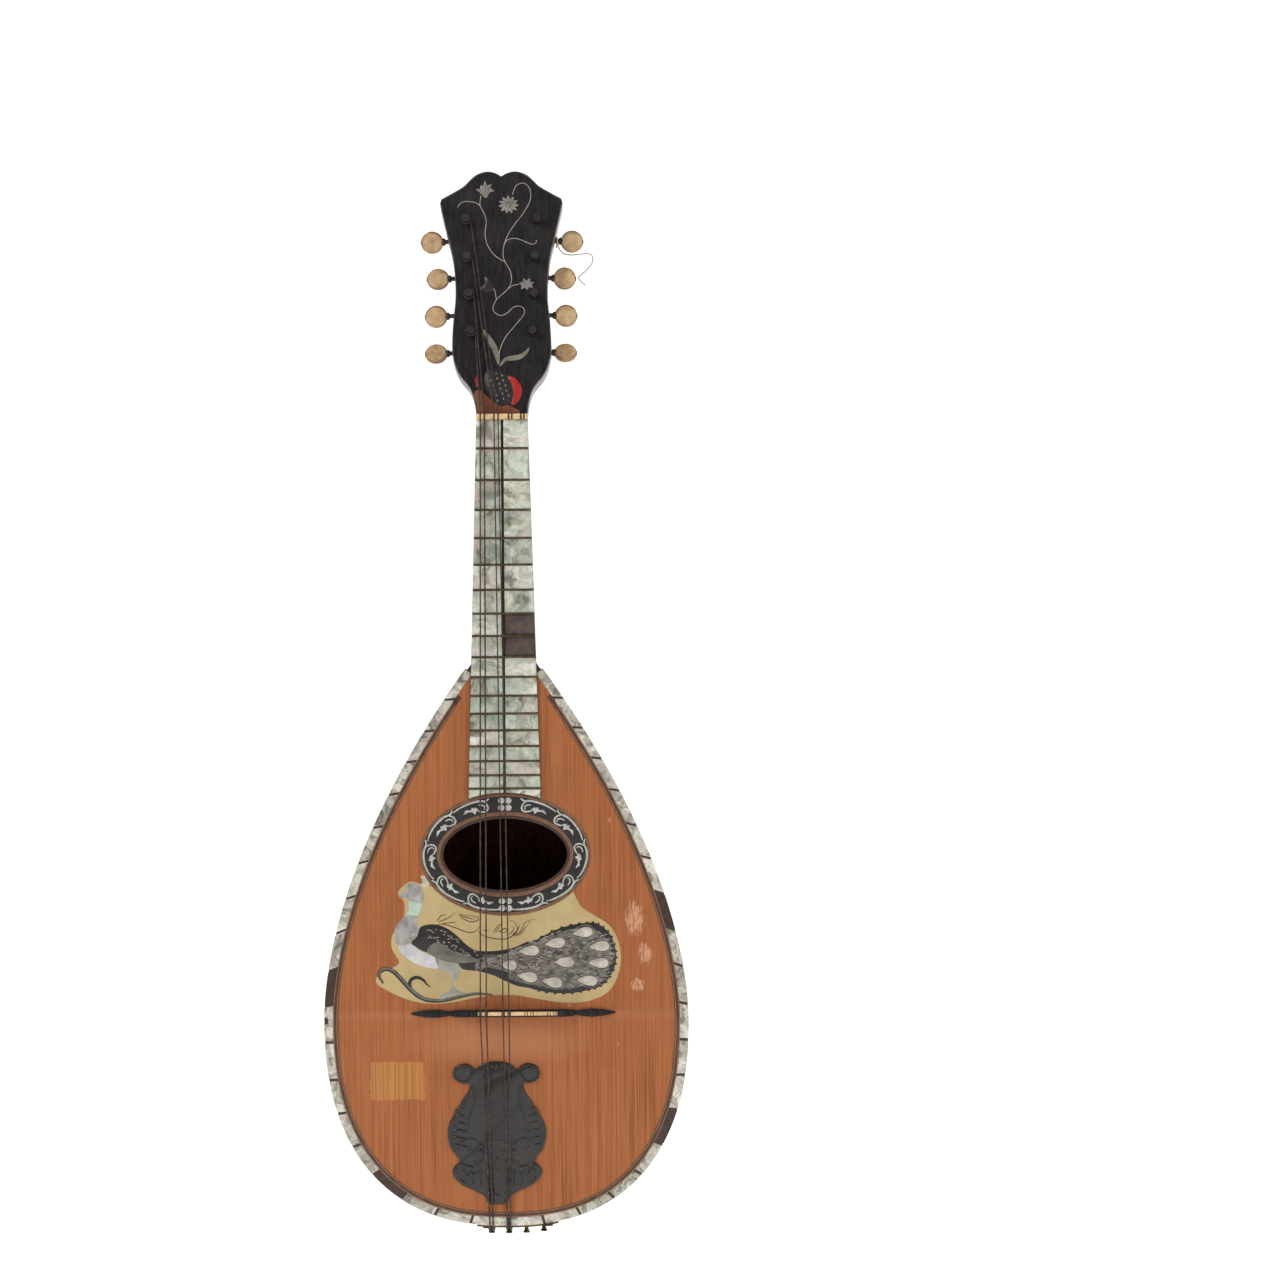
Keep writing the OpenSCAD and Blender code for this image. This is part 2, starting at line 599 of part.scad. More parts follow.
module tuner_plates() color(brass) for (side = [0, 1]) difference() {
    at_post(side, 1) union() {
        translate([0, head_t + machine_t, 0]) rotate([90, 0, 0]) linear_extrude(machine_t - 0.02)
            polygon([[-7, plate_low + 2], [-4, plate_low], [4, plate_low], [7, plate_low + 2],
                     [7, plate_high - 3], [3, plate_high - 1], [0, plate_high + 1.5],
                     [-3, plate_high - 1], [-7, plate_high - 3]]);
        for (i = [0:3]) translate([0, worm_y, i * post_pitch - worm_dist]) ear_pair();
    }
    for (i = [1:4]) {
        at_post(side, i) along_y(post_r + 0.05, head_t - 1, head_t + 3);
        at_worm(side, i) {
            along_x(shaft_r + 0.05, -8, 8);
            translate([-worm_room, -4, -worm_tip_r - 0.15])
                cube([2 * worm_room, 4, 2 * worm_tip_r + 0.3]);
        }
    }
    at_post(side, 1) for (z = plate_screws)
        translate([screw_x, 0, z]) along_y(1.1, head_t - 1, head_t + 3);
}

module screws() color(brass) {
    screw_spots() {
        along_y(0.9, head_t - 6.5, head_t + machine_t + 0.05);
        difference() {
            along_y(1.9, head_t + machine_t + 0.02, head_t + machine_t + 0.9);
            translate([-3, head_t + machine_t + 0.5, -0.25]) cube([6, 1, 0.5]);
        }
    }
    difference() {
        tail_screws(2.3, -1.3, -0.5);
        at_tail_screws() translate([-3, -0.3, -2]) cube([6, 0.6, 1]);
    }
}

module post(side, i) color(steel) {
    at_post(side, i) difference() {
        union() {
            along_y(post_r, -post_height, head_t + machine_t + gear_gap);
            along_y(1.5, head_t + 1, gear_y + gear_t);
        }
        translate([0, -4.6, 0]) along_x(0.6, -4, 4);
        translate([0, gear_y + gear_t - 3, 0]) along_y(0.75, 0, 4);
    }
    if (side == 0) at_post(side, i) wound_string(i - 1);
}
// Turns of string wound on a post, drawn as one grooved sleeve
module wound_string(k) {
    r = string_r[k];
    for (turn = [0:turn_count - 1]) rotate([-90, 0, 0]) translate([0, 0, turn_y + turn * turn_pitch * r])
        rotate_extrude() translate([post_r + r + 0.02, 0]) circle(r = r);
}

// Corners of one gear tooth, from the middle of a gap to the middle of the next
function tooth(i) =
    let (step = 360 / gear_teeth, root = 0.24, tip = 0.13)
    [for (c = [[-root, gear_root_r], [-tip, gear_tip_r], [tip, gear_tip_r], [root, gear_root_r]])
        let (a = (i + c[0]) * step) [c[1] * cos(a), c[1] * sin(a)]];
module gear(side, i) color(brass) at_post(side, i) {
    difference() {
        translate([0, gear_y + gear_t, 0]) rotate([90, 0, 0]) linear_extrude(gear_t)
            polygon([for (k = [0:gear_teeth - 1]) each tooth(k)]);
        along_y(1.53, gear_y - 1, gear_y + gear_t + 1);
    }
    difference() {
        along_y(2.4, gear_y + gear_t + 0.02, gear_y + gear_t + 1.1);
        translate([-3, gear_y + gear_t + 0.6, -0.3]) cube([6, 1, 0.6]);
    }
}

// The worm's thread: a tooth profile carried round the shaft, one turn for each pitch
thread_turns = 3;
thread_steps = 14;
module worm_thread() {
    skin([for (k = [0:thread_turns * thread_steps])
        let (a = 360 * k / thread_steps, x = thread_pitch * (k / thread_steps - thread_turns / 2),
             fade = min(1, k / 5, (thread_turns * thread_steps - k) / 5),
             tip = lerp(shaft_r + 0.05, worm_tip_r, fade))
        [for (c = [[tip, -0.3], [tip, 0.3], [shaft_r - 0.15, 0.62], [shaft_r - 0.15, -0.62]])
            [x + c[1], c[0] * cos(a), c[0] * sin(a)]]]);
}
// Turns a worm tooth to face the gap between the two lowest gear teeth
worm_phase = -90;
module worm(side, i) color(steel) at_worm(side, i) {
    along_x(shaft_r, -ear_x - 1.2, button_x[side][i - 1] + button_d / 2 + 0.1);
    rotate([worm_phase, 0, 0]) worm_thread();
}

// A flat round disc with chamfered edges, standing across the shaft
module button_disc() {
    edge = 0.9;
    flat = button_t - 2 * edge;
    cylinder(r = button_d / 2, h = flat, center = true);
    for (m = [0, 1]) mirror([0, 0, m]) translate([0, 0, flat / 2])
        cylinder(r1 = button_d / 2, r2 = button_d / 2 - edge, h = edge);
}
module button(side, i) color(bone)
    at_worm(side, i) translate([button_x[side][i - 1], 0, 0])
        rotate([button_turns[side][i - 1], 0, 0]) difference() {
            rotate([90, 0, 0]) button_disc();
            along_x(shaft_r + 0.03, -10, 10);
        }

// ---- Strings ------------------------------------------------------------------------------------

function saddle_x(c, s) = saddle_shift + (c - 1.5) * saddle_pitch + s * saddle_pair / 2;
function hook_x(c) = hook_shift + (c - 1.5) * hook_pitch;

// Where a string leaves its turns on the post, on the side nearest the centre line
function post_point(i, r) =
    from_head([-(post_x + sin(splay) * (i - 1) * post_pitch) + post_r + r + 0.02,
               turn_y + turn_count * turn_pitch * r,
               post_first + cos(splay) * (i - 1) * post_pitch]);
// Height of the strings above the soundboard where they pass over its tail edge
string_lift = 1.9;
module one_string(k) {
    c = floor(k / 2);
    s = k % 2 == 0 ? -1 : 1;
    r = string_r[k];
    rest = slot_r - r;
    loop = pin_r + r + 0.06;
    pin = hook_x(c);
    low = plate_z(pin) - 0.35 - r - (s > 0 ? 2 * r + 0.1 : 0);
    tube([post_point(k + 1, r),
          [nut_slots[k], -nut_h + 0.25, nut_back],
          [nut_slots[k], -nut_h + 0.25, nut_front],
          [saddle_x(c, s), saddle_top - 0.35, saddle_z - 1.3],
          [pin + s * 0.9, tail_y - string_lift, plate_z(pin) + plate_out + 1.5],
          [pin + s * 0.9, tail_y + 0.6, plate_z(pin) + plate_out - 1],
          [pin + s * 1.1, tail_y + 3.4, low],
          [pin + s * loop, pin_y, low]], r);
    translate([pin, pin_y, low]) rotate_extrude() translate([loop, 0]) circle(r = r);
}
module strings() color(steel) for (k = [0:2 * strung_courses - 1]) one_string(k);

// A scrap of thread looped on the top treble shaft and hanging beside the button below it
thread_route = [
    [30.9, 39.3, 95.6], [31, 39.2, 98], [31, 39.8, 99.5], [31.1, 39.2, 100.9], [31.2, 37.4, 101.5],
    [31.3, 35.7, 100.7], [31.4, 35.2, 99], [31.6, 35, 97], [33, 35, 94], [35.3, 35.1, 92],
    [37.9, 35.2, 91.5], [40.6, 35.3, 91.4], [44, 35.7, 91.7], [48, 36.2, 92.2], [50.5, 36.5, 91.4],
    [51.3, 36.5, 89.6], [50.8, 36.2, 86.7], [47.8, 35.4, 82.7], [44.5, 34.5, 79.9],
    [43.2, 33.9, 78.2], [44.5, 33.4, 76.4], [47.2, 33, 74]];
module loose_thread() color(bone) tube(smooth_open(thread_route, 3), 0.4);

// ---- Nodes --------------------------------------------------------------------------------------

soundboard();
bowl_ribs();
end_clasp();
neck_block();
tail_block();
linings();
braces();
edge_binding();
purfling();
rosette();
pickguard();
bridge_base();
bridge_saddle();
lyre_guard();
tailpiece();
hitch_pins();
neck();
headstock();
head_veneer();
fingerboard();
frets();
pearl_plates();
nut();
strings();
tuner_plates();
screws();
loose_thread();
for (s = [0, 1]) for (i = [1:4]) {
    name = str("_", side_names[s], "_", i);
    post(s, i);
    gear(s, i);
    worm(s, i);
    button(s, i);
}
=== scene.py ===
"""Bowl-back mandolin: the looks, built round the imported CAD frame.

Lengths in the shape code are in millimetres; the camera and the stage use metres."""
import json
import math
import random

import bmesh
import bpy
from mathutils import Matrix, Vector


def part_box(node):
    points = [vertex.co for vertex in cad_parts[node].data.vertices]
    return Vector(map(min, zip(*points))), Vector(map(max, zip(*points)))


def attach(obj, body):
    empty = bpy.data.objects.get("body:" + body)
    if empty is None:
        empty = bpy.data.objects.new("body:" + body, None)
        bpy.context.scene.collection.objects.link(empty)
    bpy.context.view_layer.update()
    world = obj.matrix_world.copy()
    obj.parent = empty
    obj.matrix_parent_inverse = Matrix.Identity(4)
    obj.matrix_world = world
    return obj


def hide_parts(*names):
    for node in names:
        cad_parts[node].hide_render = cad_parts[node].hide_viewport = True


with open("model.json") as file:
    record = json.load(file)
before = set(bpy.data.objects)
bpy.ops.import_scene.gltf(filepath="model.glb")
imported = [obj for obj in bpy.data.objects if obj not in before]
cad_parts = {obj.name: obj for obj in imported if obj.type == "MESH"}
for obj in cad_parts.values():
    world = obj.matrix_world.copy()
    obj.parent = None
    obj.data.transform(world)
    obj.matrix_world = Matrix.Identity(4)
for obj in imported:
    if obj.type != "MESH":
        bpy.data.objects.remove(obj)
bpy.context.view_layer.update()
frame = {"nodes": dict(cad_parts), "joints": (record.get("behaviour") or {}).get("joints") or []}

MM = 0.001
rng = random.Random(7)
SHARP_ANGLE = 40


# ---- Sizes read from the frame, in millimetres ----------------------------------------------------

def box_mm(node):
    """The low and high corner of a CAD node's box."""
    low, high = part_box(node)
    return low / MM, high / MM


rim_low, rim_high = box_mm("edge_binding")
saddle_low, saddle_high = box_mm("bridge_saddle")
nut_low, nut_high = box_mm("nut")
joints = {j["name"]: j for j in frame["joints"]}

SADDLE_Z = (saddle_low.z + saddle_high.z) / 2
# The scale ends 0.5 mm short of the saddle, and the soundboard bends a little behind it.
SCALE_LENGTH = -SADDLE_Z - 0.5
BEND_BEHIND_SADDLE = 2.7
BELLY_Z = SADDLE_Z - BEND_BEHIND_SADDLE
TAIL_Z = rim_low.z
TAIL_LEN = BELLY_Z - TAIL_Z
JOINT_Z = box_mm("neck")[0].z
BODY_W = rim_high.x - rim_low.x
BOWL_DEPTH, HEEL_DEPTH = 138.0, 30.0
BACK_POW, SECTION_POW, END_POW = 1.7, 2.15, 2.2
SHOULDER_LEN, SHOULDER_POW, TAIL_POW = 225.0, 1.745, 2.38
CANT = math.radians(8)
TOP_T, HEAD_T, BOARD_T = 2.6, 14, 3
BINDING_W = 4.9
HOLE_Z = -246.5
HOLE = (34.8, 20.1)
ROSETTE = (48.1, 34.3)
NUT_BACK = nut_high.z + 0.02
post_axis = Vector(joints["post_treble_1_turn"]["axis"])
TILT = math.atan2(-post_axis.z, post_axis.y)
LYRE_X = sum(v.x for v in box_mm("lyre_guard")) / 2
LYRE_TOP = box_mm("lyre_guard")[1].z

RIB_COUNT = 23
EDGE_BLOCKS = 19
FRETS = 17
BARE_SPACES = (7, 8)
NUT_W, BOARD_END_W = 28.8, 40.6
BOARD_END_Z = HOLE_Z + ROSETTE[1]
NECK_THIN, NECK_THICK = 15, 20
HEEL_Z, HEEL_RUN, HEEL_GROWTH = -95, 43, 9
FEATHERS, SPECKS = 520, 46
COURSES = 4
SADDLE_MID_X, COURSE_PITCH, PAIR_HALF = 6.5, 12.8, 1.7
HOOK_MID_X, HOOK_PITCH = 5.2, 9.8
BUTTON_TURNS = {"bass": [-23, 27, -8, 27], "treble": [-28, 27, 7, 2]}
THREAD_D = 0.8


# ---- Camera, light and stage ----------------------------------------------------------------------

def stage():
    """A long lens square to the soundboard, soft white light and a pale sweep."""
    distance = 4.0
    view_w = 0.718
    lamp_level = 0.58
    roll = math.radians(0.42)
    centre = Vector((0.0765, -distance, -0.1268))
    cam = bpy.data.cameras.new("camera")
    cam.lens = cam.sensor_width * distance / view_w
    cam.clip_end = 30
    ob = bpy.data.objects.new("camera", cam)
    right = Vector((math.cos(roll), 0, -math.sin(roll)))
    up = Vector((math.sin(roll), 0, math.cos(roll)))
    m = Matrix((right, up, Vector((0, -1, 0)))).transposed().to_4x4()
    m.translation = centre
    ob.matrix_world = m
    bpy.context.scene.collection.objects.link(ob)
    bpy.context.scene.camera = ob

    floor_z, back_y, bend, half = -0.60, 7.0, 1.5, 9.0
    profile = [(-half, floor_z), (back_y - bend, floor_z)]
    for i in range(1, 13):
        a = math.radians(90 * i / 12)
        profile.append((back_y - bend + bend * math.sin(a), floor_z + bend * (1 - math.cos(a))))
    profile.append((back_y, 6.0))
    verts = [(x, y, z) for y, z in profile for x in (-half, half)]
    faces = [(2 * i, 2 * i + 1, 2 * i + 3, 2 * i + 2) for i in range(len(profile) - 1)]
    me = bpy.data.meshes.new("sweep")
    me.from_pydata(verts, [], faces)
    me.shade_smooth()
    sweep = bpy.data.objects.new("sweep", me)
    bpy.context.scene.collection.objects.link(sweep)
    mat = bpy.data.materials.new("sweep_paper")
    mat.use_nodes = True
    bsdf = mat.node_tree.nodes["Principled BSDF"]
    bsdf.inputs["Base Color"].default_value = (0.93, 0.93, 0.925, 1)
    bsdf.inputs["Roughness"].default_value = 0.9
    bsdf.inputs["Emission Color"].default_value = (1, 1, 1, 1)
    bsdf.inputs["Emission Strength"].default_value = 0.52
    me.materials.append(mat)

    world = bpy.data.worlds.new("studio")
    world.use_nodes = True
    world.node_tree.nodes["Background"].inputs["Color"].default_value = (1, 1, 1, 1)
    world.node_tree.nodes["Background"].inputs["Strength"].default_value = 0.45
    bpy.context.scene.world = world
    bpy.context.scene.view_settings.view_transform = "Standard"
    target = Vector((0, 0, -0.2))
    for name, place, size, power in (
            ("key", (-1.5, -2.0, 1.6), 1.1, 46), ("fill", (1.9, -2.2, 0.3), 1.4, 20),
            ("back_key", (-1.6, 2.6, 1.8), 1.2, 34), ("back_fill", (1.8, 2.2, 0.2), 1.4, 18)):
        light = bpy.data.lights.new(name, "AREA")
        light.size = size
        light.energy = power * lamp_level
        lamp = bpy.data.objects.new(name, light)
        lamp.location = place
        lamp.visible_camera = False
        lamp.rotation_euler = (target - Vector(place)).to_track_quat("-Z", "Y").to_euler()
        bpy.context.scene.collection.objects.link(lamp)


# ---- Node helpers ---------------------------------------------------------------------------------

class Look:
    """A material under construction: a Principled shader and short calls for the nodes that feed it."""

    def __init__(self, name, roughness=0.5, metallic=0.0, coat=0.0, coat_roughness=0.2, specular=0.25):
        self.mat = bpy.data.materials.new(name)
        self.mat.use_nodes = True
        self.tree = self.mat.node_tree
        self.shader = self.tree.nodes["Principled BSDF"]
        self.shader.inputs["Roughness"].default_value = roughness
        self.shader.inputs["Metallic"].default_value = metallic
        self.shader.inputs["Coat Weight"].default_value = coat
        self.shader.inputs["Coat Roughness"].default_value = coat_roughness
        self.shader.inputs["Specular IOR Level"].default_value = specular
        self.coords = self.tree.nodes.new("ShaderNodeTexCoord").outputs["Object"]

    def put(self, socket, value):
        if isinstance(value, bpy.types.NodeSocket):
            self.tree.links.new(value, socket)
        else:
            socket.default_value = value

    def node(self, kind, out, settings=None, **inputs):
        n = self.tree.nodes.new(kind)
        for key, value in (settings or {}).items():
            setattr(n, key, value)
        for key, value in inputs.items():
            self.put(n.inputs[key.replace("_", " ")], value)
        return n.outputs[out]

    def stretch(self, scale, shift=(0, 0, 0)):
        n = self.tree.nodes.new("ShaderNodeMapping")
        self.put(n.inputs["Vector"], self.coords)
        n.inputs["Scale"].default_value = scale
        n.inputs["Location"].default_value = shift
        return n.outputs["Vector"]

    def noise(self, scale, detail=4.0, rough=0.6, vector=None, distort=0.0, out="Fac"):
        return self.node("ShaderNodeTexNoise", out, Vector=vector or self.coords, Scale=scale, Detail=detail,
                         Roughness=rough, Distortion=distort)

    def cells(self, scale, vector=None, feature="F1", out="Distance"):
        return self.node("ShaderNodeTexVoronoi", out, {"feature": feature}, Vector=vector or self.coords,
                         Scale=scale)

    def piece_tone(self):
        """The tone that the piece's vertices carry."""
        return self.node("ShaderNodeAttribute", "Fac", {"attribute_name": "tone"})

    def add(self, a, b):
        """The sum of two vectors."""
        n = self.tree.nodes.new("ShaderNodeVectorMath")
        n.operation = "ADD"
        self.put(n.inputs[0], a)
        self.put(n.inputs[1], b)
        return n.outputs["Vector"]

    def ramp(self, value, stops):
        n = self.tree.nodes.new("ShaderNodeValToRGB")
        self.put(n.inputs["Fac"], value)
        ramp = n.color_ramp
        while len(ramp.elements) < len(stops):
            ramp.elements.new(0.5)
        for element, (place, colour) in zip(ramp.elements, stops):
            element.position = place
            element.color = (*colour, 1) if isinstance(colour, tuple) else (colour, colour, colour, 1)
        return n.outputs["Color"]

    def mix(self, share, a, b, blend="MIX"):
        n = self.tree.nodes.new("ShaderNodeMix")
        n.data_type = "RGBA"
        n.blend_type = blend
        for socket, value in ((n.inputs[0], share), (n.inputs[6], a), (n.inputs[7], b)):
            self.put(socket, (*value, 1) if isinstance(value, tuple) else value)
        return n.outputs[2]

    def math(self, kind, a, b=0.0, c=0.0):
        n = self.tree.nodes.new("ShaderNodeMath")
        n.operation = kind
        for socket, value in zip(n.inputs, (a, b, c)):
            self.put(socket, value)
        return n.outputs[0]

    def axis(self, letter):
        return self.node("ShaderNodeSeparateXYZ", letter, Vector=self.coords)

    def spot(self, centre, size, soft=0.5, wobble=None):
        """1 inside an ellipsoid of this size in millimetres round centre, fading to 0 over its edge."""
        place = [-c / s for c, s in zip(centre, size)]
        vector = self.stretch([1 / (s * MM) for s in size], place)
        length = self.node("ShaderNodeVectorMath", "Value", {"operation": "LENGTH"}, Vector=vector)
        if wobble is not None:
            length = self.math("ADD", length, self.math("MULTIPLY_ADD", wobble, 1.2, -0.6))
        return self.node("ShaderNodeMapRange", "Result", Value=length, From_Min=1 + soft / 2,
                         From_Max=1 - soft / 2, To_Min=0.0, To_Max=1.0)

    def bump(self, height, distance, strength=1.0):
        normal = self.node("ShaderNodeBump", "Normal", Height=height, Distance=distance * MM,
                           Strength=strength)
        self.put(self.shader.inputs["Normal"], normal)

    def colour(self, value):
        self.put(self.shader.inputs["Base Color"], value)

    def rough(self, value, low, high):
        spread = self.node("ShaderNodeMapRange", "Result", Value=value, From_Min=0.25, From_Max=0.75,
                           To_Min=low, To_Max=high)
        self.put(self.shader.inputs["Roughness"], spread)


# ---- Materials ------------------------------------------------------------------------------------

def times(colour, share):
    """The same hue, lighter or darker."""
    return tuple(c * share for c in colour)


def soundboard_look():
    """Aged reddish spruce with worn bands, a paler square patch, scratches and nicks."""
    look = Look("soundboard_spruce", coat=0.03, coat_roughness=0.35, specular=0.2)
    lines = look.noise(1.0, 5, 0.7, look.stretch((1500, 60, 14)))
    wide = look.noise(1.0, 3, 0.5, look.stretch((520, 40, 3)))
    cloud = look.noise(9, 4, 0.6)
    grain = look.math("MULTIPLY_ADD", wide, 0.30, look.math("MULTIPLY", lines, 0.72))
    base = look.ramp(grain, [(0.38, (0.185, 0.050, 0.014)), (0.50, (0.315, 0.098, 0.029)),
                             (0.62, (0.405, 0.142, 0.048))])
    base = look.mix(look.ramp(cloud, [(0.35, 0.0), (0.7, 0.55)]), base, (0.41, 0.145, 0.050))
    edge = look.noise(22, 5, 0.65)
    base = look.mix(look.math("MULTIPLY", look.ramp(edge, [(0.55, 0.0), (0.8, 1.0)]), 0.35), base,
                    (0.185, 0.050, 0.018))
    # pale bands where hands and strings have rubbed under the bridge and along the bend
    fine = look.noise(160, 3, 0.6)
    worn = look.math("MULTIPLY", look.spot((-4, 3, -351), (34, 60, 10), 1.4), 0.55)
    base = look.mix(worn, base, (0.50, 0.21, 0.10))
    crease = look.spot((-2, 0, -336.5), (100, 60, 1.9), 1.6, fine)
    base = look.mix(look.math("MULTIPLY", crease, 0.30), base, (0.50, 0.22, 0.12))
    # a square patch of paler, yellower wood left where a label sat
    patch_grain = look.noise(1.0, 2, 0.5, look.stretch((900, 30, 8)))
    patch_colour = look.ramp(patch_grain, [(0.35, (0.36, 0.135, 0.034)), (0.6, (0.50, 0.215, 0.066))])
    x = look.math("ABSOLUTE", look.math("ADD", look.axis("X"), 0.0615))
    z = look.math("ABSOLUTE", look.math("ADD", look.axis("Z"), 0.3735))
    ragged = look.math("MULTIPLY_ADD", look.noise(420, 3, 0.7), 0.0042, -0.0021)
    inside = look.math("MULTIPLY", look.math("LESS_THAN", look.math("ADD", x, ragged), 0.0152),
                       look.math("LESS_THAN", look.math("ADD", z, ragged), 0.0108))
    base = look.mix(look.math("MULTIPLY", inside, 0.85), base, patch_colour)
    # rubbed scratches on the treble side, and small nicks everywhere
    streak = look.noise(1.0, 5, 0.75, look.stretch((900, 500, 170)))
    for centre, size in (((72.5, 0, -283), (9, 30, 16)), ((78, 0, -303), (6, 30, 11)),
                         ((74, 0, -320), (7, 30, 6))):
        zone = look.spot(centre, size, 1.2)
        marks = look.ramp(look.math("MULTIPLY", zone, streak), [(0.42, 0.0), (0.52, 0.95)])
        base = look.mix(marks, base, (0.58, 0.30, 0.18))
    dots = look.cells(62, look.stretch((1, 1, 0.4)))
    nick = look.ramp(look.math("ADD", dots, look.math("MULTIPLY", look.noise(210, 2), 0.09)),
                     [(0.070, 1.0), (0.085, 0.0)])
    base = look.mix(look.math("MULTIPLY", nick, 0.55), base, (0.55, 0.29, 0.17))
    look.colour(base)
    look.rough(look.noise(60, 5, 0.7), 0.42, 0.62)
    look.bump(look.math("ADD", lines, look.math("MULTIPLY", nick, -0.6)), 0.05, 0.5)
    return look.mat


def rosewood_look():
    """Dark streaked wood with open pores, for the neck and the head."""
    look = Look("rosewood", coat=0.35, coat_roughness=0.18)
    streaks = look.noise(1.0, 6, 0.7, look.stretch((260, 190, 9)), 0.6)
    pores = look.noise(1.0, 2, 0.9, look.stretch((2600, 2600, 120)))
    base = look.ramp(streaks, [(0.30, (0.018, 0.007, 0.005)), (0.48, (0.075, 0.024, 0.013)),
                               (0.62, (0.135, 0.045, 0.022)), (0.78, (0.060, 0.019, 0.011))])
    base = look.mix(look.ramp(pores, [(0.60, 0.0), (0.72, 0.7)]), base, (0.012, 0.006, 0.005))
    worn = look.ramp(look.noise(26, 5, 0.7), [(0.60, 0.0), (0.78, 0.5)])
    look.colour(look.mix(worn, base, (0.19, 0.085, 0.048)))
    look.rough(look.noise(70, 5, 0.7), 0.28, 0.50)
    look.bump(pores, 0.03, 0.5)
    return look.mat


def plain_wood_look():
    look = Look("inner_wood", roughness=0.8)
    grain = look.noise(1.0, 5, 0.65, look.stretch((240, 240, 14)), 0.5)
    look.colour(look.ramp(grain, [(0.3, (0.20, 0.10, 0.045)), (0.7, (0.42, 0.25, 0.13))]))
    look.bump(grain, 0.08, 0.6)
    return look.mat


def ebony_look(name="ebony", tone=1.0, low=0.36, high=0.58):
    look = Look(name, coat=0.0, specular=0.14)
    grain = look.noise(1.0, 6, 0.7, look.stretch((520, 400, 22)))
    cloud = look.noise(34, 5, 0.65)
    base = look.ramp(grain, [(0.35, times((0.0085, 0.0075, 0.0080), tone)),
                             (0.65, times((0.0260, 0.0225, 0.0230), tone))])
    base = look.mix(look.ramp(cloud, [(0.52, 0.0), (0.75, 0.55)]), base,
                    times((0.050, 0.043, 0.042), tone))
    dust = look.ramp(look.noise(700, 2, 0.8), [(0.70, 0.0), (0.80, 0.35)])
    look.colour(look.mix(dust, base, (0.12, 0.10, 0.09)))
    look.rough(cloud, low, high)
    look.bump(grain, 0.05, 0.6)
    return look.mat


def pearl_look(name, tones, scale=1.0, vivid=1.0):
    """Shell with a warped figure that differs from plate to plate; tones is the ramp of plate hues."""
    look = Look(name, coat=0.5, coat_roughness=0.08, specular=0.6)
    warp = look.noise(60 * scale, 4, 0.55, out="Color")
    piece = look.piece_tone()
    apart = look.add(look.coords, look.node("ShaderNodeCombineXYZ", "Vector", X=piece, Y=piece, Z=piece))
    scaled = look.node("ShaderNodeVectorMath", "Vector", {"operation": "SCALE"}, Scale=0.03)
    look.put(scaled.node.inputs[0], warp)
    bent = look.add(apart, scaled)
    lying = look.node("ShaderNodeMapping", "Vector", Vector=bent, Scale=(70 * scale, 60, 230 * scale))
    standing = look.node("ShaderNodeMapping", "Vector", Vector=bent, Scale=(260 * scale, 60, 80 * scale))
    upright = look.math("GREATER_THAN", look.math("FRACT", look.math("MULTIPLY", piece, 7.0)), 0.45)
    layer = look.mix(upright, look.noise(1.0, 4, 0.55, lying), look.noise(1.0, 4, 0.55, standing))
    shell = look.cells(115 * scale, bent, out="Color")
    tone = look.node("ShaderNodeSeparateColor", "Red", Color=shell)
    green = look.node("ShaderNodeSeparateColor", "Green", Color=shell)
    mixed = look.math("MULTIPLY_ADD", tone, 0.20, look.math("MULTIPLY", layer, 0.80))
    base = look.ramp(mixed, [(0.34, (0.15, 0.145, 0.115)), (0.44, (0.33, 0.33, 0.27)),
                             (0.54, (0.48, 0.48, 0.42)), (0.68, (0.70, 0.70, 0.64))])
    hue = look.ramp(piece, tones)
    base = look.mix(0.62, base, hue, "OVERLAY")
    base = look.mix(look.ramp(green, [(0.45, 0.0), (0.95, 0.5 * vivid)]), base, (0.35, 0.46, 0.37))
    pink = look.ramp(look.noise(75 * scale, 2, vector=bent), [(0.52, 0.0), (0.70, 0.55 * vivid)])
    base = look.mix(pink, base, (0.58, 0.43, 0.42))
    brown = look.ramp(look.noise(55 * scale, 3, vector=bent), [(0.56, 0.0), (0.74, 0.55 * vivid)])
    base = look.mix(brown, base, (0.16, 0.13, 0.09))
    cracks = look.ramp(look.cells(95 * scale, bent, "DISTANCE_TO_EDGE"), [(0.0, 1.0), (0.022, 0.0)])
    base = look.mix(look.math("MULTIPLY", cracks, 0.14), base, (0.10, 0.085, 0.065))
    look.colour(base)
    look.rough(layer, 0.14, 0.42)
    look.bump(look.math("SUBTRACT", layer, cracks), 0.05, 0.45)
    return look.mat


def bone_look(name="bone", dark=1.0):
    look = Look(name, coat=0.25, coat_roughness=0.25)
    look.shader.inputs["Subsurface Weight"].default_value = 0.08
    look.shader.inputs["Subsurface Radius"].default_value = (0.004, 0.002, 0.001)
    cloud = look.noise(150, 6, 0.7)
    base = look.ramp(cloud, [(0.30, times((0.22, 0.125, 0.052), dark)),
                             (0.50, times((0.42, 0.285, 0.145), dark)),
                             (0.72, times((0.56, 0.42, 0.25), dark))])
    stain = look.ramp(look.noise(420, 4, 0.75), [(0.60, 0.0), (0.72, 0.75)])
    base = look.mix(stain, base, (0.13, 0.065, 0.030))
    pits = look.ramp(look.cells(520), [(0.10, 1.0), (0.18, 0.0)])
    base = look.mix(look.math("MULTIPLY", pits, look.ramp(cloud, [(0.45, 0.0), (0.6, 0.8)])), base,
                    (0.10, 0.055, 0.03))
    patchy = look.ramp(look.noise(120, 4, 0.7), [(0.3, 0.35), (0.6, 0.95)])
    worn_rim = look.math("MULTIPLY", look.piece_tone(), patchy)
    base = look.mix(worn_rim, base, times((0.17, 0.088, 0.036), dark))
    look.colour(base)
    look.rough(look.noise(240, 4, 0.7), 0.30, 0.55)
    look.bump(look.math("SUBTRACT", cloud, pits), 0.06, 0.6)
    return look.mat


